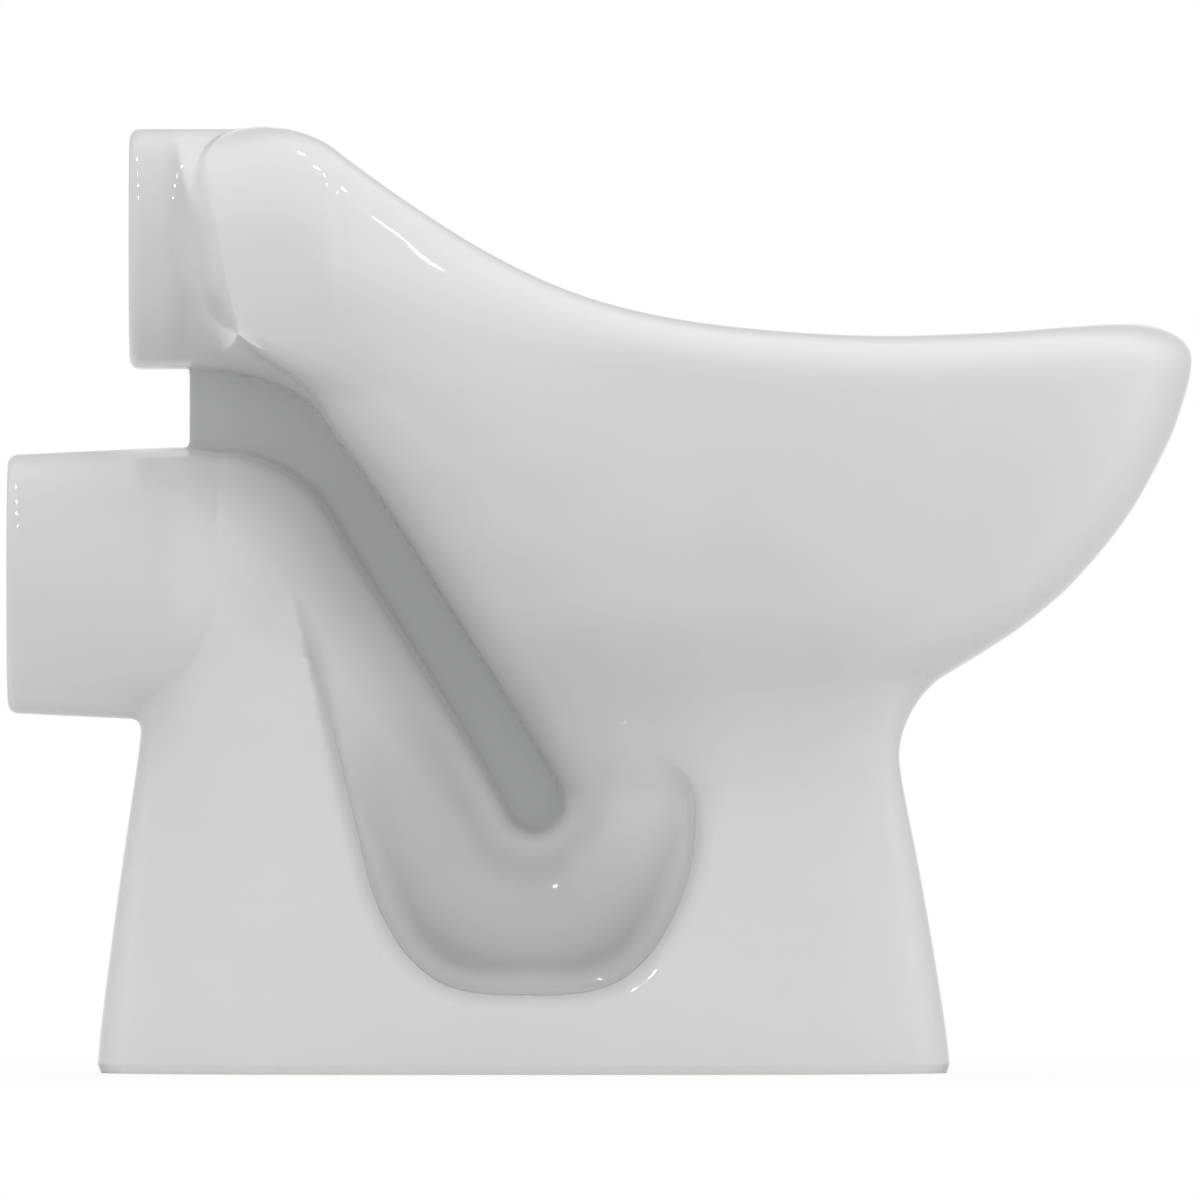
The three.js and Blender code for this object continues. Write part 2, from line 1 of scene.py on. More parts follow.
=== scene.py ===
# %% [markdown]
# # A floor-standing toilet pan in glazed vitreous china
# The real pan is one casting. It comes out of a plaster mould as wet clay sections that are stuck
# together with slip, sponged smooth at every joint, glazed and fired. So there is not one hard
# corner on it: wall runs into wall through a soft fillet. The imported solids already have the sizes
# and the sections, but flat facets and thin joints between the sections. In Blender we make the
# skin that the sponge and the glaze leave, in the same places.

# %% Load the frame
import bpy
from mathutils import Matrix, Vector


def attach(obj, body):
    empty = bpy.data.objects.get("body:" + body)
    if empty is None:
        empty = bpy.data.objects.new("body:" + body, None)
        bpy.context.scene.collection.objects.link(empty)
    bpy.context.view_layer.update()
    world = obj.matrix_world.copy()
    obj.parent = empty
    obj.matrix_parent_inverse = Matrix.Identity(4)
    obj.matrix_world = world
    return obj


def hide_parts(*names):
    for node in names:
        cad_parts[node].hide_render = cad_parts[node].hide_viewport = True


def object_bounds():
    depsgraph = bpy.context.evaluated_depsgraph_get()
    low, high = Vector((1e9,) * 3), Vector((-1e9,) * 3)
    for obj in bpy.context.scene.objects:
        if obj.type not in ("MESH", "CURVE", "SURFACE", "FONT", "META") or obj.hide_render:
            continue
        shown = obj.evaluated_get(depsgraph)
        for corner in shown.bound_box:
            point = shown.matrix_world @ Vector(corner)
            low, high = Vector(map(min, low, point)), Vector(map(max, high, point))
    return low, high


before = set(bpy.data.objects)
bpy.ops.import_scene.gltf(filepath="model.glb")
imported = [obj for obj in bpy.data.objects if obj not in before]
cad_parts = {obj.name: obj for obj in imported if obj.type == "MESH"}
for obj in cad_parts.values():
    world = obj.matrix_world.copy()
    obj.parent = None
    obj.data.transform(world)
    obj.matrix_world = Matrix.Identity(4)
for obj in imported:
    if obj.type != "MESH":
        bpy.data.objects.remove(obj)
cad_low, cad_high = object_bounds()
print("CAD box in mm:", [round(1000 * v) for v in (*cad_low, *cad_high)])

# %% [markdown]
# ## Describing a soft body by distances
# Fillets between curved walls are hard to model edge by edge. It is easier to write, for every point
# of space, how far it is from a wall: below zero in the clay, above zero in the air. Joining two
# walls is then the smaller of two numbers, and cutting is the larger of two. A fillet is the same
# rule with a quarter circle drawn round the corner. Blender's metaballs work like this too, but
# they can't be steered to a measured outline, so we write the rules ourselves with numpy.

# %% Join, trim and cut with rounded corners
import numpy as np


def ease(at, start, end):
    """Goes softly from 0 at the start to 1 at the end."""
    u = np.clip((at - start) / (end - start), 0, 1)
    return u * u * (3 - 2 * u)


def join(a, b, fillet):
    """Both bodies, with a fillet in the corner between them."""
    return (np.maximum(fillet, np.minimum(a, b))
            - np.hypot(np.maximum(fillet - a, 0), np.maximum(fillet - b, 0)))


def trim(a, b, edge):
    """What lies in both bodies, with the edge between them rounded."""
    return (np.minimum(-edge, np.maximum(a, b))
            + np.hypot(np.maximum(edge + a, 0), np.maximum(edge + b, 0)))


def cut(a, b, edge):
    """Body a without body b."""
    return trim(a, -b, edge)


def join_wide(a, b, reach_a, reach_b):
    """Both bodies, with a fillet that covers reach_b of body a and reach_a of body b."""
    u, v = np.maximum(1 - a / reach_a, 0), np.maximum(1 - b / reach_b, 0)
    scale = (u * u * reach_a + v * v * reach_b) / np.maximum(u * u + v * v, 1e-9)
    return np.where(u + v > 0, (1 - np.hypot(u, v)) * scale, np.minimum(a, b))


# %% A smooth curve through a short table
def smooth_curve(rows, soften=0.0):
    """Samples a cubic through the rows; the first column is the place, the rest are values.
    With soften, bends in the table are spread over that length."""
    rows = np.array(rows, float)
    place, value = rows[:, 0], rows[:, 1:]
    slope = np.gradient(value, place, axis=0)
    slope[1:-1] = (value[2:] - value[:-2]) / (place[2:] - place[:-2])[:, None]
    fine = np.linspace(place[0], place[-1], 1500)
    i = np.clip(np.searchsorted(place, fine, side="right") - 1, 0, len(place) - 2)
    step = (place[i + 1] - place[i])[:, None]
    u = (fine - place[i])[:, None] / step
    s0, s1, rise = slope[i] * step, slope[i + 1] * step, value[i + 1] - value[i]
    curve = value[i] + u * (s0 + u * (3 * rise - 2 * s0 - s1 + u * (s0 + s1 - 2 * rise)))
    reach = int(soften / 2 / (fine[1] - fine[0]))
    if reach:
        ends = 2 * curve[0] - curve[reach:0:-1], 2 * curve[-1] - curve[-2:-reach - 2:-1]
        longer = np.concatenate([ends[0], curve, ends[1]])
        weight = np.hanning(2 * reach + 3)[1:-1]
        curve = np.stack([np.convolve(column, weight / weight.sum(), "valid") for column in longer.T], 1)
    return fine, curve


def read_curve(curve, at, column=0):
    return np.interp(at, curve[0], curve[1][:, column])


def steep(rho, slope, climb):
    """Turns a shape number, 1 on the wall, into a distance from the wall."""
    return (rho - 1) / np.hypot(slope, climb)


# %% An egg-shaped outline at one level
def egg(x, y, mid, front, back, half, half_back, power, power_back):
    """The shape number in plan: below 1 inside, with how fast it grows per millimetre."""
    along = y - mid
    ahead = along < 0
    reach = np.where(ahead, front + mid, back - mid)
    width = np.where(ahead, half, half_back)
    p = np.where(ahead, power, power_back)
    ax, ay = np.abs(x) + 1e-6, np.abs(along) + 1e-6
    a, b = (ax / width) ** p, (ay / reach) ** p
    total = a + b
    rho = total ** (1 / p)
    return rho, rho / total * np.hypot(a / ax, b / ay)


# %% [markdown]
# ## Bowl and hood
# Seen from above, the bowl is an egg that grows from the round throat to the wide rim; at the back
# it squares off into the hood, which holds the flush water. The outline changes with height, so a
# table holds it at some thirty levels and a smooth curve runs through them. Millimetres here,
# turned into metres when the mesh is made.

# %% The bowl's outside
RIM_FRONT, RIM_HALF_WIDTH, RIM_MID_Y = 231.0, 152.0, -40.0
HOOD_BACK, HOOD_START_Y = 156.0, 130.0
THROAT_Z, THROAT_Y, THROAT_HALF = 105.0, -28.0, 49.0
FRONT_SQUARE = 2.1  # 2 would be an ellipse

# height, how far it reaches to the front and back, half width, then how square and tapered the back is
BOWL_LEVELS = smooth_curve([
    (105, 71.0, 15.0, 49.0, 2, 0), (109.4, 72.6, 15.9, 49.8, 2, 0), (114, 76.4, 17.9, 51.6, 2, 0),
    (119, 81.6, 20.7, 54.3, 2, 0), (130, 95.3, 27.5, 60.5, 2, 0), (136, 103.9, 31.0, 64.4, 2, 0),
    (142, 113.5, 34.5, 69.5, 2, 0), (150, 126.7, 39.4, 77.2, 2, 0),
    (157.8, 139.6, 44.2, 86.3, 2, 0), (165.6, 152.3, 49.2, 96.2, 2, 0),
    (173.4, 164.0, 54.1, 106.2, 2, 0), (181.2, 173.9, 58.8, 114.4, 2, 0),
    (189, 182.7, 63.8, 120.8, 2, 0), (205, 196.9, 73.6, 132.2, 2.1, 0),
    (220, 207.9, 83.3, 140.0, 2.2, 0.01), (236, 216.9, 94.2, 145.8, 2.5, 0.04),
    (250, 223.6, 104.3, 149.1, 3.0, 0.1), (262.9, 227.9, 111.5, 150.8, 4.0, 0.15),
    (268, 229.4, 116.5, 151.3, 4.8, 0.18), (273.1, 230.4, 123.5, 151.6, 5.4, 0.21),
    (278, 230.9, 132, 151.8, 5.6, 0.24), (284, 230.9, 140, 151.9, 5.4, 0.26),
    (292, 230.9, 147, 151.9, 4.6, 0.27), (304, 230.9, 154, 151.9, 3.7, 0.26),
    (318, 230.9, 160, 151.9, 3, 0.23), (334, 230.9, 163, 151.9, 2.8, 0.2),
    (350, 230.9, 164, 151.9, 2.8, 0.19),
], soften=12)


def bowl_number(x, y, z):
    mid_share = (read_curve(BOWL_LEVELS, z, 2) - THROAT_HALF) / (RIM_HALF_WIDTH - THROAT_HALF)
    mid = THROAT_Y + (RIM_MID_Y - THROAT_Y) * mid_share
    front, back, half, square, taper = (read_curve(BOWL_LEVELS, z, k) for k in range(5))
    share = np.clip((y - mid) / (back - mid), 0, 1.15)
    half_back = half * (1 - taper * share ** 2)
    return egg(x, y, mid, front, back, half, half_back, FRONT_SQUARE, square)


def bowl_outside(x, y, z):
    rho, slope = bowl_number(x, y, z)
    climb = (bowl_number(x, y, z + 1)[0] - bowl_number(x, y, z - 1)[0]) / 2
    return steep(rho, slope, climb)


# %% The saddle of the rim
# place along the pan, height of the crest
SADDLE = smooth_curve([
    (-231.0, 291.6), (-205.7, 292.0), (-182.6, 290.5), (-150.9, 288.0), (-104.7, 286.8),
    (-57.7, 289.6), (-18.7, 295.4), (12.7, 304.5), (43.7, 319.2), (74.8, 338.8), (98.2, 355.6),
    (106.2, 361.7), (117.7, 366.6), (130.0, 368.6),
])
CREST_SLOPE = (SADDLE[0], np.gradient(SADDLE[1], SADDLE[0], axis=0))


def above_crest(y, z):
    """Distance from the top of the rim, above it more than zero."""
    slope = np.where((y > -RIM_FRONT) & (y < HOOD_START_Y), read_curve(CREST_SLOPE, y), 0)
    return (z - read_curve(SADDLE, y)) / np.hypot(1, slope)


def toward_hood(y):
    """0 on the low part of the rim, 1 under the hood."""
    return ease(y, -30, 115)


def rounded_edge(wall, top, across, down, power=2.0):
    """Trims one body by another with an edge that is wider than it is deep."""
    u, v = np.maximum(wall / across + 1, 0), np.maximum(top / down + 1, 0)
    scale = (u * u * across + v * v * down) / np.maximum(u * u + v * v, 1e-9)
    deep = np.maximum(wall + across, top + down) - np.minimum(across, down)
    return np.where(u + v > 0, ((u ** power + v ** power) ** (1 / power) - 1) * scale, deep)


# %% [markdown]
# ## Trap
# The trap is one tube: down from the throat, round the dip where the water seals the drain off, up
# the sloping leg and over into the outlet. A point's distance from such a tube is its distance from
# the centre line less the radius there, so we only need the line (two straights, a bend and a
# corner) and a table of radii. The tube is a little wider than it is deep round the dip.

# %% The trap's line
DIP_Y, DIP_Z, DIP_BEND = 25.5, 105.0, 53.5
DIP_HALF_DEPTH, DIP_DEEPER, DIP_NARROWER = 43.0, 0.8, 3.8  # at the throat, and the change round the dip
ELBOW_Y, OUTLET_Z, OUTLET_END, SPIGOT_EDGE = 148.3, 190.5, 231.0, 4.0
INTO_THROAT = 5.0  # how far the tube runs up into the bowl
leg_run = np.hypot(ELBOW_Y - DIP_Y, OUTLET_Z - DIP_Z)
leg_angle = np.arctan2(OUTLET_Z - DIP_Z, ELBOW_Y - DIP_Y) + np.arcsin(DIP_BEND / leg_run)
leg_length = np.sqrt(leg_run ** 2 - DIP_BEND ** 2)
leg_y, leg_z = np.cos(leg_angle), np.sin(leg_angle)  # the way the leg climbs
print(f"the leg climbs at {np.degrees(leg_angle):.1f} degrees over {leg_length:.0f} mm")

# place along the leg, half depth, half width
LEG_RADII = smooth_curve([
    (0, 43.8, 45.2), (23, 46.0, 46.6), (39, 47.2, 47.6), (56, 48.0, 48.4), (73, 48.7, 49.0),
    (89, 49.3, 49.5), (106, 49.9, 50.0), (123, 50.7, 50.7), (leg_length, 51.8, 51.8)])
# place along the pan, radius of the outlet
OUTLET_RADII = smooth_curve([
    (ELBOW_Y, 51.8), (156, 52.8), (163, 53.3), (176, 53.0), (192, 52.2), (207.5, 51.5),
    (223, 50.7), (OUTLET_END, 50.4)])


# %% The trap's outside
def tube(x, off, half_depth, half_width):
    return np.hypot(x * half_depth / half_width, off) - half_depth


def trap_outside(x, y, z, slim=0.0, extend=0.0):
    """slim takes a wall off the radius; extend runs the outlet on beyond its end."""
    nowhere = 1e3
    py, pz = y - DIP_Y, z - DIP_Z
    climb = py * leg_y + pz * leg_z  # along the leg, from where the bend ends
    off_leg = py * leg_z - pz * leg_y - DIP_BEND
    turn = np.clip(np.arctan2(-pz, -py) / (np.pi / 2), 0, 1)  # 0 at the throat, 1 right under
    dip_depth = DIP_HALF_DEPTH + DIP_DEEPER * turn
    dip_width = THROAT_HALF - DIP_NARROWER * turn * turn * (3 - 2 * turn)
    bend = tube(x, np.hypot(py, pz) - DIP_BEND, dip_depth - slim, dip_width - slim)
    bend = np.where((climb > 0) | (pz > 0), nowhere, bend)
    down = tube(x, y - THROAT_Y, DIP_HALF_DEPTH - slim, THROAT_HALF - slim)
    down = np.where((pz > 0) & (pz < INTO_THROAT), down, nowhere)
    place = np.clip(climb, 0, leg_length)
    depth, width = read_curve(LEG_RADII, place), read_curve(LEG_RADII, place, 1)
    beyond = np.maximum(climb - leg_length, 0)
    leg = tube(np.hypot(x, beyond), off_leg, depth - slim, width - slim)
    leg = np.where(climb > 0, leg, nowhere)
    run = np.clip(y, ELBOW_Y, OUTLET_END)
    radius = read_curve(OUTLET_RADII, run) - slim
    before = np.maximum(ELBOW_Y - y, 0)
    outlet = np.sqrt(x ** 2 + (z - OUTLET_Z) ** 2 + before ** 2) - radius
    outlet = trim(outlet, y - OUTLET_END - extend, SPIGOT_EDGE)
    return np.minimum(np.minimum(bend, down), np.minimum(leg, outlet))


# %% [markdown]
# ## Flush inlet, web and pedestal
# The inlet horn is a short pipe on the back of the hood. A web, a plate 20 mm thick, fills the space
# between bowl, hood and leg, so that the casting holds its shape in the kiln. The pedestal is a
# flared skirt, open below. On both sides the mould pushes a U-shaped recess into it, round the
# dip, with an edge that a sponge has rolled over.

# %% Horn and web
HORN_Z, HORN_RADIUS, HORN_BORE, HORN_START, HORN_END = 321.1, 46.9, 27.5, 115.0, 183.5
WEB_HALF, WEB_BACK, WEB_EDGE = 10.0, 160.0, 2.0
WEB_LOW_Z, WEB_BACK_LOW_Z = 63.5, 202.6  # its lowest corner, over the dip, and its lower back corner


def horn_outside(x, y, z):
    ends = np.maximum(y - HORN_END, HORN_START - y)
    return trim(np.hypot(x, z - HORN_Z) - HORN_RADIUS, ends, SPIGOT_EDGE)


def side_of(y, z, y0, z0, y1, z1):
    """Distance from a line in the middle plane; the clay is on its left."""
    length = np.hypot(y1 - y0, z1 - z0)
    return ((y - y0) * (z1 - z0) - (z - z0) * (y1 - y0)) / length


def web_outside(x, y, z):
    """The plate between leg, bowl and horn; its edges lie hidden inside these."""
    along_leg = side_of(y, z, DIP_Y, WEB_LOW_Z, WEB_BACK, WEB_BACK_LOW_Z)
    along_bowl = side_of(y, z, HOOD_START_Y, HORN_Z, THROAT_Y, THROAT_Z)
    under_throat = side_of(y, z, THROAT_Y, THROAT_Z, DIP_Y, WEB_LOW_Z)
    plate = np.maximum(np.maximum(along_leg, along_bowl), np.maximum(under_throat, z - HORN_Z))
    return trim(np.maximum(plate, np.abs(x) - WEB_HALF), y - WEB_BACK, WEB_EDGE)


# %% The pedestal's outside
FOOT_MID_Y, PEDESTAL_TOP, FOOT_BEVEL = 22.0, 196.0, 3.5
# height, front, back, half width of the front part, half width of the back part
PEDESTAL_LEVELS = smooth_curve([
    (0, 136.9, 196.3, 100, 100), (17.2, 134.9, 194.7, 96.7, 96.7), (49.2, 129.9, 190.7, 88.5, 88.5),
    (80, 124.4, 186.5, 79.9, 79.9), (110.7, 118.4, 182.0, 70.3, 70.3), (123, 116.7, 180.2, 67, 66.8),
    (134.5, 116.4, 179.0, 66.5, 65.5), (150, 117, 178.8, 66, 63.2), (161, 117, 178.6, 66, 61),
    (170, 117, 178.1, 66, 57), (PEDESTAL_TOP, 117, 177, 66, 45)])
PEDESTAL_SQUARE = 2.6


def pedestal_number(x, y, z):
    front, back, half, half_back = (read_curve(PEDESTAL_LEVELS, z, k) for k in range(4))
    return egg(x, y, FOOT_MID_Y, front, back, half, half_back, PEDESTAL_SQUARE, PEDESTAL_SQUARE)


def pedestal_outside(x, y, z):
    rho, slope = pedestal_number(x, y, z)
    climb = (pedestal_number(x, y, z + 1)[0] - pedestal_number(x, y, z - 1)[0]) / 2
    return steep(rho, slope, climb)


# %% The recess beside the trap
RECESS_Y, RECESS_Z, RECESS_RADIUS = 28.0, 97.0, 65.0
RECESS_EDGE, RECESS_BEVEL_DEPTH, RECESS_BEVEL_POWER = 7.0, 9.0, 1.5
FRONT_TOP_Y, BACK_TOP_Y, SIDES_TOP_Z = -38.0, 121.0, 205.0  # the upper ends of its two sides
MEET_Y, MEET_Z = 91.2, 81.7  # where the rear side leaves the round part without a bend
MEET_HALF_HEIGHT = 6.0
# degrees from straight down, radius of the U there: it is a little fuller at its corners
RECESS_RADII = smooth_curve([(0, 66.0), (11, 67.2), (20, 69.0), (30, 70.2), (43, 69.1), (53, 67.3),
                             (65, 65.9), (78, 65.2), (90, RECESS_RADIUS)])


def recess(y, z):
    """A U in the middle plane: round below, with sides that lean out a little towards the top."""
    along, down = np.abs(y - RECESS_Y), np.maximum(RECESS_Z - z, 0)
    radius = read_curve(RECESS_RADII, np.degrees(np.arctan2(along, down)))
    round_part = np.hypot(along, z - RECESS_Z) - radius
    front = side_of(y, z, FRONT_TOP_Y, SIDES_TOP_Z, RECESS_Y - RECESS_RADIUS, RECESS_Z)
    back = side_of(y, z, MEET_Y, MEET_Z, BACK_TOP_Y, SIDES_TOP_Z)
    meet_z = np.where(y > RECESS_Y, MEET_Z, RECESS_Z)
    straight = ease(z, meet_z - MEET_HALF_HEIGHT, meet_z + MEET_HALF_HEIGHT)
    return round_part * (1 - straight) + np.maximum(front, back) * straight


# towards the top the rolled edge grows narrower at the rear and wider at the front, between two heights
REAR_NARROWER, REAR_HEIGHTS = 3.5, (90, 170)
FRONT_WIDER, FRONT_HEIGHTS = 9, (92, 122)
FRONT_TO_REAR = 20.0


def rolled_over(skirt, u_shape, y, z):
    """The skirt without the recess; the bevel round the U dies away softly at the front's top."""
    rear = ease(y, RECESS_Y, RECESS_Y + FRONT_TO_REAR)
    narrower = REAR_NARROWER * ease(z, *REAR_HEIGHTS) * rear
    wider = FRONT_WIDER * ease(z, *FRONT_HEIGHTS) * (1 - rear)
    across = RECESS_EDGE - narrower + wider
    return rounded_edge(-u_shape, skirt, across, RECESS_BEVEL_DEPTH, RECESS_BEVEL_POWER)


# %% [markdown]
# ## Hollows
# China is fired evenly only if it is everywhere about as thick, so the pan is hollow throughout: the
# basin runs into the trap's bore, the flush water has a channel under the rim behind a hanging lip,
# and the pedestal is an open skirt. Each hollow is the outside again, moved in by the wall.

# %% The basin, the flush channel and the opening in the rim
BOWL_WALL, RIM_WALL, TRAP_WALL, ROOF, LIP, LIP_END = 11.0, 10.0, 9.5, 10.0, 8.0, 256.0
MOUTH_MID_Y, MOUTH_FRONT, MOUTH_BACK, MOUTH_HALF = -46.0, 189.0, 78.0, 109.0
BOWL_BOTTOM = 101.0  # a little under the throat, inside the trap
BOWL_WALL_FROM_Z, RIM_WALL_HEIGHTS = 127, (240, 262)
CHANNEL_CORNER, HOOD_CORNER_MORE, LIP_EDGE, LIP_FILLET = 7, 21, 3.9, 4.0


def opening(x, y):
    """Distance in plan from the edge of the opening in the rim, below zero in the opening."""
    rho, slope = egg(x, y, MOUTH_MID_Y, MOUTH_FRONT, MOUTH_BACK, MOUTH_HALF, MOUTH_HALF,
                     FRONT_SQUARE, FRONT_SQUARE)
    return steep(rho, slope, 0)


def basin(x, y, z, bowl, mouth):
    """What the water can fill: the basin, and the channel behind the lip that hangs from the rim."""
    wall = TRAP_WALL + (BOWL_WALL - TRAP_WALL) * ease(z, THROAT_Z, BOWL_WALL_FROM_Z)
    wall = wall + (RIM_WALL - BOWL_WALL) * ease(z, *RIM_WALL_HEIGHTS)
    corner = CHANNEL_CORNER + HOOD_CORNER_MORE * toward_hood(y)
    inside = trim(bowl + wall, above_crest(y, z) + ROOF, corner)
    lip = trim(np.abs(mouth - LIP / 2) - LIP / 2, LIP_END - z, LIP_EDGE)
    return np.maximum(cut(inside, lip, LIP_FILLET), BOWL_BOTTOM - z)


# %% The flush splitter
SPLITTER_TIP_Y, SPLITTER_MID_Z, SPLITTER_HALF_HEIGHT, SPLITTER_HALF_WIDTH = 106.0, 306.8, 21.7, 38.0
SPLITTER_HALF_WALL, SPLITTER_SLANT, SPLITTER_EDGE, LIP_TO_SPLITTER = 2.9, 2 / 3, 2.0, 5.0
SQUARE_TO_SLANT = 0.832  # turns a distance along the pan into one square to the slanted wall


def splitter(x, y, z, mouth):
    """A low vee in front of the inlet that sends the water round both sides of the rim."""
    across = (y - SPLITTER_TIP_Y + np.abs(x) * SPLITTER_SLANT) * SQUARE_TO_SLANT
    plate = np.abs(across + SPLITTER_HALF_WALL) - SPLITTER_HALF_WALL
    vee = trim(plate, np.abs(z - SPLITTER_MID_Z) - SPLITTER_HALF_HEIGHT, SPLITTER_EDGE)
    return np.maximum(np.maximum(vee, LIP_TO_SPLITTER - mouth), np.abs(x) - SPLITTER_HALF_WIDTH)


# %% Rounded rim and hollow pedestal
# how far each rounding reaches across and down, and how much further on the hood
RIM_ACROSS, RIM_DOWN, HOOD_ACROSS_MORE, HOOD_DOWN_MORE, RIM_FULLNESS = 28, 15, 5, 21, 2.4
MOUTH_ACROSS, MOUTH_DOWN, MOUTH_BELOW_LIP = 13.0, 9.0, 2


def rounded_bowl(bowl, top, mouth, y, z):
    """The bowl with its rim rounded outside and at the opening; the hood is rounded deeper."""
    across = RIM_ACROSS + HOOD_ACROSS_MORE * toward_hood(y)
    down = RIM_DOWN + HOOD_DOWN_MORE * toward_hood(y)
    outer = rounded_edge(bowl, top, across, down, RIM_FULLNESS)
    hole = np.maximum(mouth, LIP_END - MOUTH_BELOW_LIP - z)
    inner = rounded_edge(-hole, top, MOUTH_ACROSS, MOUTH_DOWN)
    return np.maximum(np.maximum(outer, inner), BOWL_BOTTOM - z)


SKIRT_WALL, FOOT_THICKER, FOOT_HEIGHTS = 10, 11, (17, 11)
HOLLOW_CORNER, HOLLOW_EDGE = 5.0, 3.0
BEVEL_STEEP, SQUARE_TO_BEVEL = 2, 0.9  # the foot's bevel rises 2 for each 1 that it goes in


def open_pedestal(skirt, u_shape, y, z):
    """The skirt with recess, hollow and foot bevel; at the foot its wall is twice as thick."""
    body = np.maximum(rolled_over(skirt, u_shape, y, z), z - PEDESTAL_TOP)
    wall = SKIRT_WALL + FOOT_THICKER * ease(z, *FOOT_HEIGHTS)
    hollow = trim(skirt + wall, SKIRT_WALL - u_shape, HOLLOW_CORNER)
    bevel = SQUARE_TO_BEVEL * (skirt + (FOOT_BEVEL - z) / BEVEL_STEEP)
    return np.maximum(cut(body, hollow, HOLLOW_EDGE), bevel)


# %% How wide the fillets are
PEDESTAL_FILLET, FRONT_FILLET_MORE, RECESS_FILLET_MORE = 4, 13, 7
# how much the horn's fillet widens, and between which heights
HORN_FILLET, HORN_WIDENS = 1, [(5, 366, 350), (4, 350, 315), (6, 302, 282)]
TWICE_AS_WIDE = (362, 335)  # between these heights it comes to reach twice as far on the hood
WEB_FILLET, WEB_FILLET_MORE, WEB_MIDDLE = 1.2, 1.8, 6
SPLITTER_FILLET, BORE_EDGE = 3.0, 2.5


def pedestal_fillet(y, z):
    """Where bowl and trap leave the pedestal: widest in front of the dip and low in the recess."""
    front = FRONT_FILLET_MORE * ease(z, 85, 130) * ease(y, 60, 5)
    return PEDESTAL_FILLET + front + RECESS_FILLET_MORE * ease(z, 110, 70)


def horn_fillet(z):
    """Between hood and horn: small on top, where the two lie almost level, and wide below."""
    reach = HORN_FILLET
    for more, start, end in HORN_WIDENS:
        reach = reach + more * ease(z, start, end)
    return reach


def web_fillet(bowl_body, trap):
    """Small along the bowl, a little wider along the trap."""
    return WEB_FILLET + WEB_FILLET_MORE * ease(bowl_body - trap, -WEB_MIDDLE, WEB_MIDDLE)


# %% Everything at once
HORN_INTO_HOOD, PIPE_START_Y, BORE_PAST_OUTLET = 5, 112, 30


def pan(x, y, z, floor=0.0):
    """Distance of each point from the glazed surface of the whole pan, below zero in the clay."""
    bowl = bowl_outside(x, y, z)
    mouth = opening(x, y)
    bowl_body = rounded_bowl(bowl, above_crest(y, z), mouth, y, z)
    trap = trap_outside(x, y, z)
    body = open_pedestal(pedestal_outside(x, y, z), recess(y, z), y, z)
    body = np.maximum(body, floor - z)
    body = join(body, np.minimum(bowl_body, trap), pedestal_fillet(y, z))

    horn = np.maximum(horn_outside(x, y, z), HOOD_START_Y - HORN_INTO_HOOD - y)
    reach = horn_fillet(z)
    body = join_wide(body, horn, reach, reach * (1 + ease(z, *TWICE_AS_WIDE)))
    body = join(body, web_outside(x, y, z), web_fillet(bowl_body, trap))

    trap_bore = trap_outside(x, y, z, TRAP_WALL, BORE_PAST_OUTLET)
    waterway = np.minimum(basin(x, y, z, bowl, mouth), trap_bore)
    pipe = np.maximum(np.hypot(x, z - HORN_Z) - HORN_BORE, PIPE_START_Y - y)
    body = cut(body, np.minimum(waterway, pipe), BORE_EDGE)
    return join(body, splitter(x, y, z, mouth), SPLITTER_FILLET)


# %% [markdown]
# ## Cast sections
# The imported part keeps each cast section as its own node, and every piece we make stands for one of
# them. On the fired pan the joints can't be seen, so we don't model gaps: we colour the clay by
# section, and let neighbours share every corner along the joint.

# %% Which section a point of the clay belongs to
SECTIONS = ["rim", "bowl", "inlet_horn", "flush_splitter", "trap_dip", "trap_rising_leg",
            "outlet_elbow", "outlet_spigot", "web_panel", "pedestal", "foot_ring"]
RIM, BOWL, HORN, SPLITTER, DIP, LEG, ELBOW, SPIGOT, WEB, PEDESTAL, FOOT = range(1, len(SECTIONS) + 1)
RIM_JOINT_Z, SPIGOT_JOINT_Y, FOOT_JOINT_Z, OVERLAP = 250.0, 168.0, 14.0, 0.6
DIP_JOINT, ELBOW_JOINT = 6.0, leg_length - 60  # along the leg
HORN_JOINT_Y, SPLITTER_OVERLAP = HOOD_BACK - 20, 0.5
NOT_HERE = 1e3


def section_of(x, y, z):
    """The number of the section at each point: the first of the walls below that it lies in."""
    climb = (y - DIP_Y) * leg_y + (z - DIP_Z) * leg_z
    tube_part = np.where(climb < DIP_JOINT, DIP, np.where(climb < ELBOW_JOINT, LEG, ELBOW))
    tube_part = np.where(y > SPIGOT_JOINT_Y, SPIGOT, tube_part)
    trap = np.where((z < THROAT_Z) | (y > DIP_Y), trap_outside(x, y, z), NOT_HERE)
    bowl = bowl_outside(x, y, z) + np.where(z < THROAT_Z, NOT_HERE, 0)
    horn = horn_outside(x, y, z) + np.where(y < HORN_JOINT_Y, NOT_HERE, 0)
    skirt = rolled_over(pedestal_outside(x, y, z), recess(y, z), y, z)
    found = np.stack(np.broadcast_arrays(trap, bowl, horn, web_outside(x, y, z), skirt))
    first = np.argmax(found < OVERLAP, axis=0)
    nearest = np.where((found < OVERLAP).any(axis=0), first, np.argmin(found, axis=0))
    part = np.choose(nearest, [tube_part, np.where(z < RIM_JOINT_Z, BOWL, RIM), HORN, WEB,
                               np.where(z < FOOT_JOINT_Z, FOOT, PEDESTAL)])
    mouth = opening(x, y)
    return np.where((splitter(x, y, z, mouth) < SPLITTER_OVERLAP) & (mouth > LIP), SPLITTER, part)


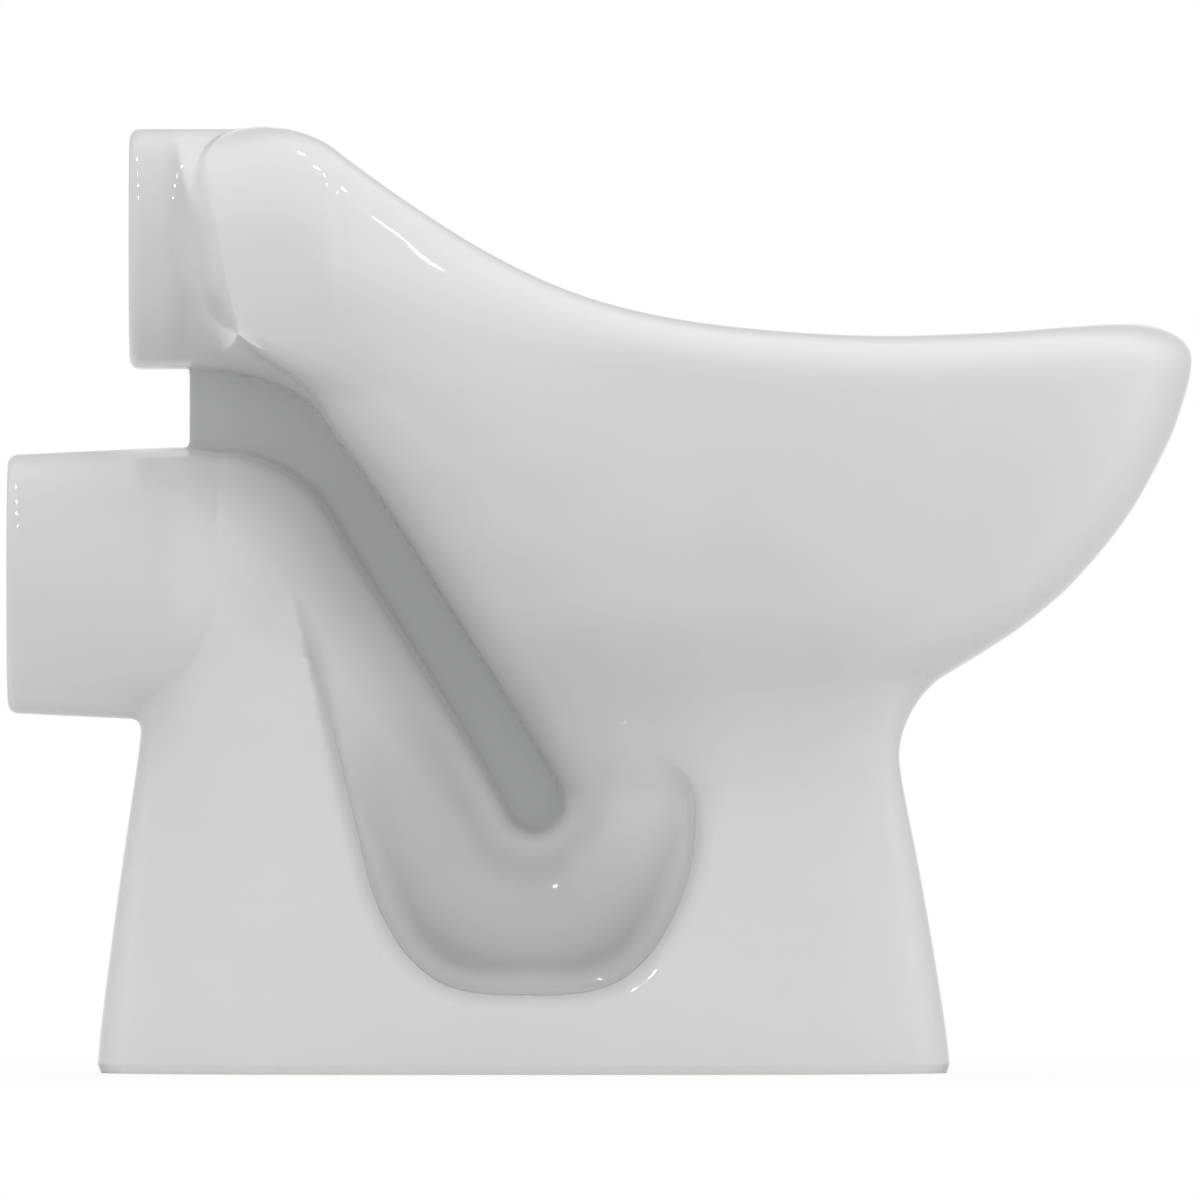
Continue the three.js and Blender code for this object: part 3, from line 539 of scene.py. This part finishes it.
# %% [markdown]
# ## From distances to a mesh
# We lay a box of grid points over half the pan, note which are in the clay and in which section,
# and mirror them. Wherever two neighbours differ there is a wall between them, so a four-sided face
# goes there, with its corners in the middle of the grid cells round it. That is called surface
# nets. Then each corner slides along the slope of the distance until it lies on the surface, and
# that slope is also the exact normal. The grid is finer where edges are small. A face inside the
# clay, between two sections, gets a point of its own in the middle that lies a little deeper, so
# that no such face ever breaks through the glaze.

# %% The grid
from numpy import arange, concatenate
step = 2.4


def stations(start, end, fine):
    """Places from start to end, two to a step inside the fine stretches."""
    places = [start]
    while places[-1] < end:
        close = any(low <= places[-1] <= high for low, high in fine)
        places.append(places[-1] + (step / 2 if close else step))
    return np.array(places)


FINE_AT_ENDS = [(178, 186), (225, 233), (154, 163)]  # the ends of horn, outlet and web
UNDER_FLOOR, FINE_AT_FLOOR, AIR = -2.5, 6, 4
half_width, half_length, top = (round(1000 * side) + AIR for side in cad_high)
grid_x = stations(step / 2, half_width, [])
grid_y = stations(-half_length, half_length, FINE_AT_ENDS)
grid_z = stations(UNDER_FLOOR, top, [(UNDER_FLOOR, FINE_AT_FLOOR)])
clay = pan(grid_x[:, None, None], grid_y[None, :, None], grid_z[None, None, :])
parts = np.zeros(clay.shape, np.int8)
i, j, k = np.nonzero(clay < 0)
parts[i, j, k] = section_of(grid_x[i], grid_y[j], grid_z[k])
clay = concatenate([clay[::-1], clay]); parts = concatenate([parts[::-1], parts])
grid_x = concatenate([-grid_x[::-1], grid_x])
print("grid points:", clay.size, " in the clay:", int((parts > 0).sum()))


# %% One face for every pair of neighbours that differ
def walls_along(axis):
    """Corner cells of each face, the two sections it parts, and where it crosses the grid line."""
    one, other = [slice(None)] * 3, [slice(None)] * 3
    one[axis], other[axis] = slice(None, -1), slice(1, None)
    at = np.argwhere(parts[tuple(one)] != parts[tuple(other)])
    beyond = at.copy(); beyond[:, axis] += 1
    here, there = parts[tuple(at.T)], parts[tuple(beyond.T)]
    f0, f1 = clay[tuple(at.T)], clay[tuple(beyond.T)]
    share = np.where((here == 0) | (there == 0), f0 / np.where(f0 == f1, 1, f0 - f1), 0.5)
    points = np.stack([grid_x[at[:, 0]], grid_y[at[:, 1]], grid_z[at[:, 2]]], 1)
    ahead = [grid_x, grid_y, grid_z][axis]
    points[:, axis] += share * (ahead[beyond[:, axis]] - ahead[at[:, axis]])
    u, v = (axis + 1) % 3, (axis + 2) % 3
    cells = np.repeat(at[:, None, :], 4, axis=1)
    cells[:, :, u] += [-1, 0, 0, -1]
    cells[:, :, v] += [-1, -1, 0, 0]
    return cells, here, there, points


found = [walls_along(axis) for axis in range(3)]
cells = concatenate([f[0] for f in found]); here = concatenate([f[1] for f in found])
there = concatenate([f[2] for f in found]); crossing = concatenate([f[3] for f in found])
number = (cells[..., 0] * len(grid_y) + cells[..., 1]) * len(grid_z) + cells[..., 2]
used, faces = np.unique(number, return_inverse=True)
faces = faces.reshape(-1, 4)
count = np.bincount(faces.ravel(), minlength=len(used))
corners = np.stack([np.bincount(faces.ravel(), np.repeat(crossing[:, a], 4), len(used)) / count
                    for a in range(3)], 1)
print("faces:", len(faces), " corners:", len(corners))


# %% Slide the corners onto the surface
def slope_at(points, reach=0.15, floor=0.0):
    """The slope of the distance at each point, from a small step either way."""
    x, y, z = points.T
    return np.stack([pan(x + reach, y, z, floor) - pan(x - reach, y, z, floor),
                     pan(x, y + reach, z, floor) - pan(x, y - reach, z, floor),
                     pan(x, y, z + reach, floor) - pan(x, y, z - reach, floor)], 1) / (2 * reach)


FLATTEST, FLATTEST_WALL = 0.05, 0.3  # a flatter slope would send a point too far


def slide(points, depth, sink_only=False):
    """Moves points along the slope, at most half a step, to lie this deep in the clay."""
    slope = slope_at(points)
    lack = pan(*points.T) + depth
    lack = np.maximum(lack, 0) if sink_only else lack
    way = -lack[:, None] * slope / np.maximum((slope ** 2).sum(1, keepdims=True), FLATTEST)
    length = np.linalg.norm(way, axis=1, keepdims=True)
    return points + way * np.minimum(1, step / 2 / np.maximum(length, 1e-9))


on_skin = np.zeros(len(corners), bool)
joint = (here > 0) & (there > 0)
on_skin[faces[~joint].ravel()] = True
skin = corners[on_skin]
for _ in range(3):
    skin = slide(skin, 0.0)
print("corners on the skin:", len(skin))

# %% Make the foot's edge crisp
# The corners near it go down to the floor, on the wall, and keep the wall's normal.
NEAR_FLOOR, NEAR_WALL, NO_FLOOR = 1.1, 0.9, -10.0
at_edge = (skin[:, 2] < NEAR_FLOOR) & (pan(*skin.T, NO_FLOOR) > -NEAR_WALL)
edge = skin[at_edge]
edge[:, 2] = 0
for _ in range(3):
    wall_slope = slope_at(edge, floor=NO_FLOOR)[:, :2]
    steepness = np.maximum((wall_slope ** 2).sum(1, keepdims=True), FLATTEST_WALL)
    edge[:, :2] -= pan(*edge.T, NO_FLOOR)[:, None] / steepness * wall_slope
skin[at_edge] = edge
print("corners on the foot's edge:", int(at_edge.sum()))

# %% Take the normals, and sink the corners inside the clay
corners[on_skin] = skin
CORNER_DEPTH, MIDDLE_DEPTH = 0.6, 0.9
corners[~on_skin] = slide(corners[~on_skin], CORNER_DEPTH, sink_only=True)
middles = slide(crossing[joint], MIDDLE_DEPTH, sink_only=True)
slope = slope_at(skin)
slope[at_edge] = slope_at(edge, floor=NO_FLOOR)
normals = np.zeros((len(corners) + len(middles), 3))
normals[:, 2] = 1
normals[:len(corners)][on_skin] = slope / np.linalg.norm(slope, axis=1, keepdims=True)
print("furthest corner from the surface in mm:", round(float(np.abs(pan(*skin.T)).max()), 3))


# %% [markdown]
# ## Painted shade and painted light
# The colour is painted darker where shade falls: on the web, round the dip, on the horn and the outlet
# and in the corners behind the hood. It is painted lighter where light falls: on the rim's rounded
# edges, on the trap beside the web and on the foot's bevel. Every corner of the mesh gets a share from
# 0 to 1 for each, which the material reads. A third share marks the places that face other glaze and
# not the open room, where the painted shade along the outline is left off.

# %% Shares for each corner
def near_web(x, y, z, start, end):
    """Rises from 0 to 1 between two distances from the web's outline, seen from the side."""
    return ease(web_outside(np.sign(x) * WEB_HALF, y, z), start, end)


def painted_shade_share(x, y, z):
    """Painted shade: 1 on the web, the darkest; less in the recess, on the spigots and the hood."""
    far = np.abs(x)
    web = ease(far, 12.5, 10.2) * near_web(x, y, z, 14, 1)
    web = web * ease(bowl_outside(x, y, z), -5, 0) * (0.84 + 0.16 * ease(z, 240, 140))
    upper = 117 + 48 * ease(y, 5, 30)
    dip = 0.6 * ease(z, upper, upper - 60) * ease(recess(y, z), 4, -14) * ease(far, 62, 50)
    low = ease(z, 310, 298)
    corner = 0.3 + 0.25 * ease(z, 325, 350) + 0.15 * low
    corner = corner * ease(y, 148 - 7 * low, 156 - 7 * low) * ease(y, 171, 162)
    horn = 0.2 * ease(y, 162, 171) * ease(z, 262, 292) + corner
    horn = ease(far, 14, 34) * ease(z, 268, 275) * horn
    outlet = 0.17 * ease(far, 26, 44) * ease(z, 150, 185) * ease(z, 268, 260) * ease(y, 158, 172)
    hood = 0.25 * ease(z, 335, 290) * ease(z, 262, 272) * ease(y, 50, 110) * ease(y, 152, 147)
    return np.maximum(np.maximum(web, dip), np.maximum(horn + outlet, hood))


def painted_light_share(x, y, z):
    """Painted light: 1 on the rim's rounded edge, the trap beside the web, the foot's bevel."""
    far = np.abs(x)
    reach = 1 + 1.4 * toward_hood(y)
    wall, top = bowl_outside(x, y, z), above_crest(y, z) / reach
    rim = ease(top, -22, -8) * (1 - 0.6 * ease(top, -5, 0)) * ease(wall / reach, -30, -12)
    rim = rim * ease(wall, 2.5, 0)
    tube_side = ease(trap_outside(x, y, z), 1, 0) * ease(far, 10.6, 15) * ease(far, 36, 22)
    tube_side = tube_side * near_web(x, y, z, 16, 4)
    foot_bevel = 0.9 * ease(z, FOOT_BEVEL + 0.4, FOOT_BEVEL - 0.4)
    return np.maximum(np.maximum(rim, tube_side), foot_bevel)


def outline_shade_off(x, y, z):
    """1 in the recess, beside the web and behind the hood, where the glaze faces other glaze; the
    painted outline shade is left off there.
    """
    far = np.abs(x)
    in_recess = ease(recess(y, z), 9, 3) * ease(z, 215, 195) * ease(z, 20, 25)
    beside_web = near_web(x, y, z, 34, 14) * ease(far, 120, 90)
    behind_hood = 0.7 * ease(y, 136, 145) * ease(y, 174, 165) * ease(far, 80, 60)
    behind_hood = behind_hood * ease(z, 369, 355)
    return np.maximum(np.maximum(in_recess, beside_web), behind_hood)


# shares of painted shade, of painted light, and of the places where the outline shade is left off
painted_shade, painted_light, hidden = (share(*corners.T) for share in (painted_shade_share, painted_light_share, outline_shade_off))
print("share of corners with pooled glaze:", round(float((painted_shade > 0.5).mean()), 3),
      " with thin glaze:", round(float((painted_light > 0.5).mean()), 3))

# %% Lists of corners for every face, outside and joint
outer, outer_sides = faces[~joint], (here[~joint], there[~joint])
middle = len(corners) + arange(len(middles))
quads = faces[joint]
inner = np.stack([np.stack([quads[:, a], quads[:, (a + 1) % 4], middle], 1) for a in range(4)], 1)
inner = inner.reshape(-1, 3)
inner_sides = (np.repeat(here[joint], 4), np.repeat(there[joint], 4))
corners = concatenate([corners, middles])
painted_shade, painted_light, hidden = (concatenate([share, np.zeros(len(middles))])
                         for share in (painted_shade, painted_light, hidden))
print("faces on the skin:", len(outer), " in the joints:", len(inner))

# %% [markdown]
# ## Glaze
# Vitreous china has a thick, glassy white glaze. Its tone differs a little at random, and its surface
# waves very slightly, which is what makes a highlight on a real pan tremble. One Principled shader does
# this, with soft noise on the colour, the roughness and the bump, all in the object's own coordinates.
# The shares from above add painted shade, a greyer colour, and painted light, a whiter one. Seen at a
# low angle, a glaze mirrors the room. A plain white room would wipe out the pan's outline, so there the
# colour is painted darker, a painted shade along the outline, apart from the places that face other
# glaze. Under the foot the pan stands bare on the kiln shelf, so the lowest half millimetre turns to
# matt, unglazed bisque.

# %% The glaze material
import bpy


def new_node(tree, kind, **inputs):
    node = tree.nodes.new(kind)
    for name, value in inputs.items():
        node.inputs[name.replace("_", " ")].default_value = value
    return node


glaze = bpy.data.materials.new("white_glaze")
glaze.use_nodes = True
tree = glaze.node_tree
shader = tree.nodes["Principled BSDF"]
place = tree.nodes.new("ShaderNodeTexCoord")


def soft_noise(scale, detail):
    noise = new_node(tree, "ShaderNodeTexNoise", Scale=scale, Detail=detail, Roughness=0.5)
    tree.links.new(place.outputs["Object"], noise.inputs["Vector"])
    return noise.outputs["Fac"]


def spread(value, low, high, from_low=0.3, from_high=0.7):
    node = new_node(tree, "ShaderNodeMapRange", From_Min=from_low, From_Max=from_high,
                    To_Min=low, To_Max=high)
    tree.links.new(value, node.inputs["Value"])
    return node.outputs["Result"]


def blend(fac, first, second):
    node = tree.nodes.new("ShaderNodeMix")
    node.data_type = "RGBA"
    for socket, value in ((node.inputs[0], fac), (node.inputs[6], first), (node.inputs[7], second)):
        if isinstance(value, tuple):
            socket.default_value = value
        else:
            tree.links.new(value, socket)
    return node.outputs[2]


def share_of(label):
    """One of the shares that the mesh carries at its corners."""
    node = tree.nodes.new("ShaderNodeAttribute")
    node.attribute_name = label
    return node.outputs["Fac"]


GLAZE_THIN, GLAZE_THICK = (0.665, 0.665, 0.663, 1), (0.635, 0.636, 0.636, 1)
# painted shade, a greyer colour, and painted light, a whiter one
GLAZE_PAINTED_SHADE, GLAZE_PAINTED_LIGHT = (0.42, 0.425, 0.425, 1), (0.725, 0.725, 0.722, 1)
# a painted shade along the outline, and the bare bisque under the foot
PAINTED_OUTLINE_SHADE, BISQUE = (0.05, 0.05, 0.05, 1), (0.72, 0.68, 0.6, 1)
BARE_TO, GLAZED_FROM = 0.0001, 0.0004  # height over the floor in metres
CLOUDS, GLOSS_PATCHES, WAVES = (11, 3), (40, 2), (28, 1.5)  # noises: how many to a metre, detail
GLOSSIEST, DULLEST, BISQUE_ROUGHNESS = 0.06, 0.1, 0.7
WAVE_STRENGTH, WAVE_HEIGHT = 0.12, 0.0006
# how dark the painted shade along the outline gets, and the mirroring where it starts and is full
EDGE_MOST, EDGE_FROM, EDGE_FULL = 0.8, 0.1, 0.62  # the darkening, and the mirroring where it starts
height = tree.nodes.new("ShaderNodeSeparateXYZ")
tree.links.new(place.outputs["Object"], height.inputs[0])
bare = spread(height.outputs["Z"], 1.0, 0.0, BARE_TO, GLAZED_FROM)
colour = blend(spread(soft_noise(*CLOUDS), 0, 1), GLAZE_THIN, GLAZE_THICK)
# painted shade: greyer on the web, round the dip, by the horn and the outlet and behind the hood
colour = blend(share_of("painted_shade"), colour, GLAZE_PAINTED_SHADE)
# painted light: whiter on the rim's rounded edge, on the trap beside the web and on the foot's bevel
colour = blend(share_of("painted_light"), colour, GLAZE_PAINTED_LIGHT)
colour = blend(bare, colour, BISQUE)
GLAZE_IOR = 1.5
# painted shade along the outline: the colour darkens as the glaze mirrors more, except where it faces
# other glaze
grazing = new_node(tree, "ShaderNodeFresnel", IOR=GLAZE_IOR)
outline_shade_amount = tree.nodes.new("ShaderNodeMath")
outline_shade_amount.operation = "MULTIPLY"
mirroring = spread(grazing.outputs[0], 0.0, EDGE_MOST, EDGE_FROM, EDGE_FULL)
tree.links.new(mirroring, outline_shade_amount.inputs[0])
tree.links.new(spread(share_of("outline_shade_off"), 1.0, 0.0, 0.0, 1.0), outline_shade_amount.inputs[1])
outline_shade_amount = outline_shade_amount.outputs[0]
tree.links.new(blend(outline_shade_amount, colour, PAINTED_OUTLINE_SHADE), shader.inputs["Base Color"])
gloss = new_node(tree, "ShaderNodeMath")
gloss.operation = "MAXIMUM"
tree.links.new(spread(soft_noise(*GLOSS_PATCHES), GLOSSIEST, DULLEST), gloss.inputs[0])
tree.links.new(spread(bare, 0.0, BISQUE_ROUGHNESS, 0.0, 1.0), gloss.inputs[1])
tree.links.new(gloss.outputs[0], shader.inputs["Roughness"])
shader.inputs["IOR"].default_value = GLAZE_IOR
wave = new_node(tree, "ShaderNodeBump", Strength=WAVE_STRENGTH, Distance=WAVE_HEIGHT)
tree.links.new(soft_noise(*WAVES), wave.inputs["Height"])
tree.links.new(wave.outputs["Normal"], shader.inputs["Normal"])
print("glaze nodes:", len(tree.nodes))

# %% [markdown]
# ## One piece for each section
# Every section takes the faces where its own clay ends, at the air or at a neighbour, so each is a
# closed body. The faces carry the exact normals, so the glaze runs over the joints unbroken.


# %% Make the pieces
def own_faces(index, faces, sides):
    """The faces of one section, turned so that they face out of it."""
    return concatenate([faces[sides[0] == index], faces[sides[1] == index][:, ::-1]])


def make_section(index, name):
    quads, triangles = own_faces(index, outer, outer_sides), own_faces(index, inner, inner_sides)
    kept, loops = np.unique(concatenate([quads.ravel(), triangles.ravel()]), return_inverse=True)
    mesh = bpy.data.meshes.new(name + "_china")
    mesh.vertices.add(len(kept))
    mesh.vertices.foreach_set("co", (corners[kept] / 1000).ravel())
    mesh.loops.add(len(loops))
    mesh.loops.foreach_set("vertex_index", loops)
    mesh.polygons.add(len(quads) + len(triangles))
    mesh.polygons.foreach_set("loop_start", concatenate([
        arange(0, quads.size, 4), quads.size + arange(0, triangles.size, 3)]))
    mesh.update(calc_edges=True)
    if mesh.validate():
        print("mended:", name, "from", len(quads) + len(triangles), "to", len(mesh.polygons), "faces")
    mesh.shade_smooth()
    mesh.normals_split_custom_set_from_vertices(normals[kept].tolist())
    # the shares of painted shade, of painted light and of no outline shade go onto the corners
    for label, share in (("painted_shade", painted_shade), ("painted_light", painted_light), ("outline_shade_off", hidden)):
        mesh.attributes.new(label, "FLOAT", "POINT").data.foreach_set("value", share[kept])
    mesh.materials.append(glaze)
    piece = bpy.data.objects.new(name + "_china", mesh)
    bpy.context.scene.collection.objects.link(piece)
    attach(piece, "root")
    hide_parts(name)
    print(f"{name}: {len(mesh.polygons)} faces, {len(kept)} corners")
    return piece


china = [make_section(index + 1, name) for index, name in enumerate(SECTIONS)]

# %% [markdown]
# ## Floor, light and camera
# A studio picture of white china needs soft light that is only a little stronger from above, or the
# form goes flat or the whites burn out. The sky here brightens towards the top and the front for the
# light it sheds, and dims a little to the sides, but the lens and the glaze see plain white. Four
# small lamps in a row overhead leave the points of light that tell the eye that the surface is
# glass. They show in the glaze alone and shed no soft light.

# %% Floor
FLOOR_HALF, FLOOR_GAP, FLOOR_WHITENED = 0.62, 0.0001, 0.85
PAPER, PAPER_ROUGHNESS = (0.82, 0.82, 0.82, 1), 0.9
floor_mesh = bpy.data.meshes.new("studio_floor")
floor_mesh.from_pydata([(-FLOOR_HALF, -FLOOR_HALF, 0), (FLOOR_HALF, -FLOOR_HALF, 0),
                        (FLOOR_HALF, FLOOR_HALF, 0), (-FLOOR_HALF, FLOOR_HALF, 0)], [], [(0, 1, 2, 3)])
floor = bpy.data.objects.new("studio_floor", floor_mesh)
floor.location.z = -FLOOR_GAP
bpy.context.scene.collection.objects.link(floor)
paper = bpy.data.materials.new("pale_paper")
paper.use_nodes = True
nodes, links = paper.node_tree.nodes, paper.node_tree.links
matt = nodes["Principled BSDF"]
matt.inputs["Base Color"].default_value = PAPER
matt.inputs["Roughness"].default_value = PAPER_ROUGHNESS
lit = nodes.new("ShaderNodeEmission")
white_mix = nodes.new("ShaderNodeMixShader")
rays = nodes.new("ShaderNodeLightPath")
part_white = nodes.new("ShaderNodeMath")
part_white.operation = "MULTIPLY"
part_white.inputs[1].default_value = FLOOR_WHITENED
links.new(rays.outputs["Is Camera Ray"], part_white.inputs[0])
links.new(part_white.outputs[0], white_mix.inputs[0])
links.new(matt.outputs[0], white_mix.inputs[1])
links.new(lit.outputs[0], white_mix.inputs[2])
links.new(white_mix.outputs[0], nodes["Material Output"].inputs["Surface"])
floor_mesh.materials.append(paper)
print("floor side in m:", 2 * FLOOR_HALF)

# %% Sky
world = bpy.data.worlds.new("soft_sky")
bpy.context.scene.world = world
world.use_nodes = True
nodes, links = world.node_tree.nodes, world.node_tree.links
nodes.clear()
SKY_LEVEL, FROM_ABOVE, FROM_FRONT, FROM_SIDES = 0.94, 0.31, 0.2, -0.13
way = nodes.new("ShaderNodeTexCoord")
split = nodes.new("ShaderNodeSeparateXYZ")
links.new(way.outputs["Generated"], split.inputs[0])


def sum_up(operation, first, second):
    """A Math node on two numbers or sockets."""
    node = nodes.new("ShaderNodeMath")
    node.operation = operation
    for socket, value in zip(node.inputs, (first, second)):
        if isinstance(value, (int, float)):
            socket.default_value = value
        else:
            links.new(value, socket)
    return node.outputs[0]


def part_of_sky(amount, toward):
    return sum_up("MULTIPLY", amount, toward)


east, north, up = split.outputs
grade = sum_up("ADD", SKY_LEVEL, part_of_sky(FROM_ABOVE, sum_up("MAXIMUM", up, 0)))
grade = sum_up("ADD", grade, part_of_sky(-FROM_FRONT, sum_up("MINIMUM", north, 0)))
grade = sum_up("ADD", grade, part_of_sky(FROM_SIDES, sum_up("MULTIPLY", east, east)))
shed, seen = nodes.new("ShaderNodeBackground"), nodes.new("ShaderNodeBackground")
for background in (shed, seen):
    background.inputs["Color"].default_value = (1, 1, 1, 1)
links.new(grade, shed.inputs["Strength"])
rays = nodes.new("ShaderNodeLightPath")
looks = None
for ray in ("Is Camera Ray", "Is Glossy Ray", "Is Transmission Ray"):
    if looks is None:
        looks = rays.outputs[ray]
        continue
    either = nodes.new("ShaderNodeMath")
    either.operation = "MAXIMUM"
    links.new(looks, either.inputs[0])
    links.new(rays.outputs[ray], either.inputs[1])
    looks = either.outputs[0]
sky_mix = nodes.new("ShaderNodeMixShader")
links.new(looks, sky_mix.inputs[0])
links.new(shed.outputs[0], sky_mix.inputs[1])
links.new(seen.outputs[0], sky_mix.inputs[2])
output = nodes.new("ShaderNodeOutputWorld")
links.new(sky_mix.outputs[0], output.inputs["Surface"])
print("sky nodes:", len(nodes))

# %% Lamps
import math
LAMP_HEIGHT, LAMP_Y, LAMP_SIDE, LAMP_LEVEL = 1.6, 0.62, 0.06, 300.0
SEEN_FROM_Z, LAMP_ANGLES = 0.2, (53, 66, 79, 98)  # degrees above the side, from the pan's middle
for number, angle in enumerate(LAMP_ANGLES):
    data = bpy.data.lights.new(f"overhead_{number}", "AREA")
    data.size = LAMP_SIDE
    data.energy = math.pi * LAMP_SIDE ** 2 * LAMP_LEVEL
    lamp = bpy.data.objects.new(f"overhead_{number}", data)
    lamp.location = (-LAMP_HEIGHT / math.tan(math.radians(angle)), LAMP_Y, LAMP_HEIGHT + SEEN_FROM_Z)
    lamp.visible_diffuse = False
    bpy.context.scene.collection.objects.link(lamp)
print("lamps of", round(data.energy, 3), "W")

# %% Camera
LENS, SENSOR, FRAME_WIDTH, FRAME_MID_Z, SEES_TO = 1500.0, 36.0, 0.468, 0.18428, 100
data = bpy.data.cameras.new("long_lens")
data.lens, data.sensor_width = LENS, SENSOR
data.clip_end = SEES_TO
camera = bpy.data.objects.new("long_lens", data)
distance = FRAME_WIDTH * LENS / SENSOR
camera.location = (-distance, 0, FRAME_MID_Z)
camera.rotation_euler = (math.radians(90), 0, math.radians(-90))
bpy.context.scene.collection.objects.link(camera)
bpy.context.scene.camera = camera
bpy.context.scene.view_settings.view_transform = "Standard"
print("camera distance in m:", distance)
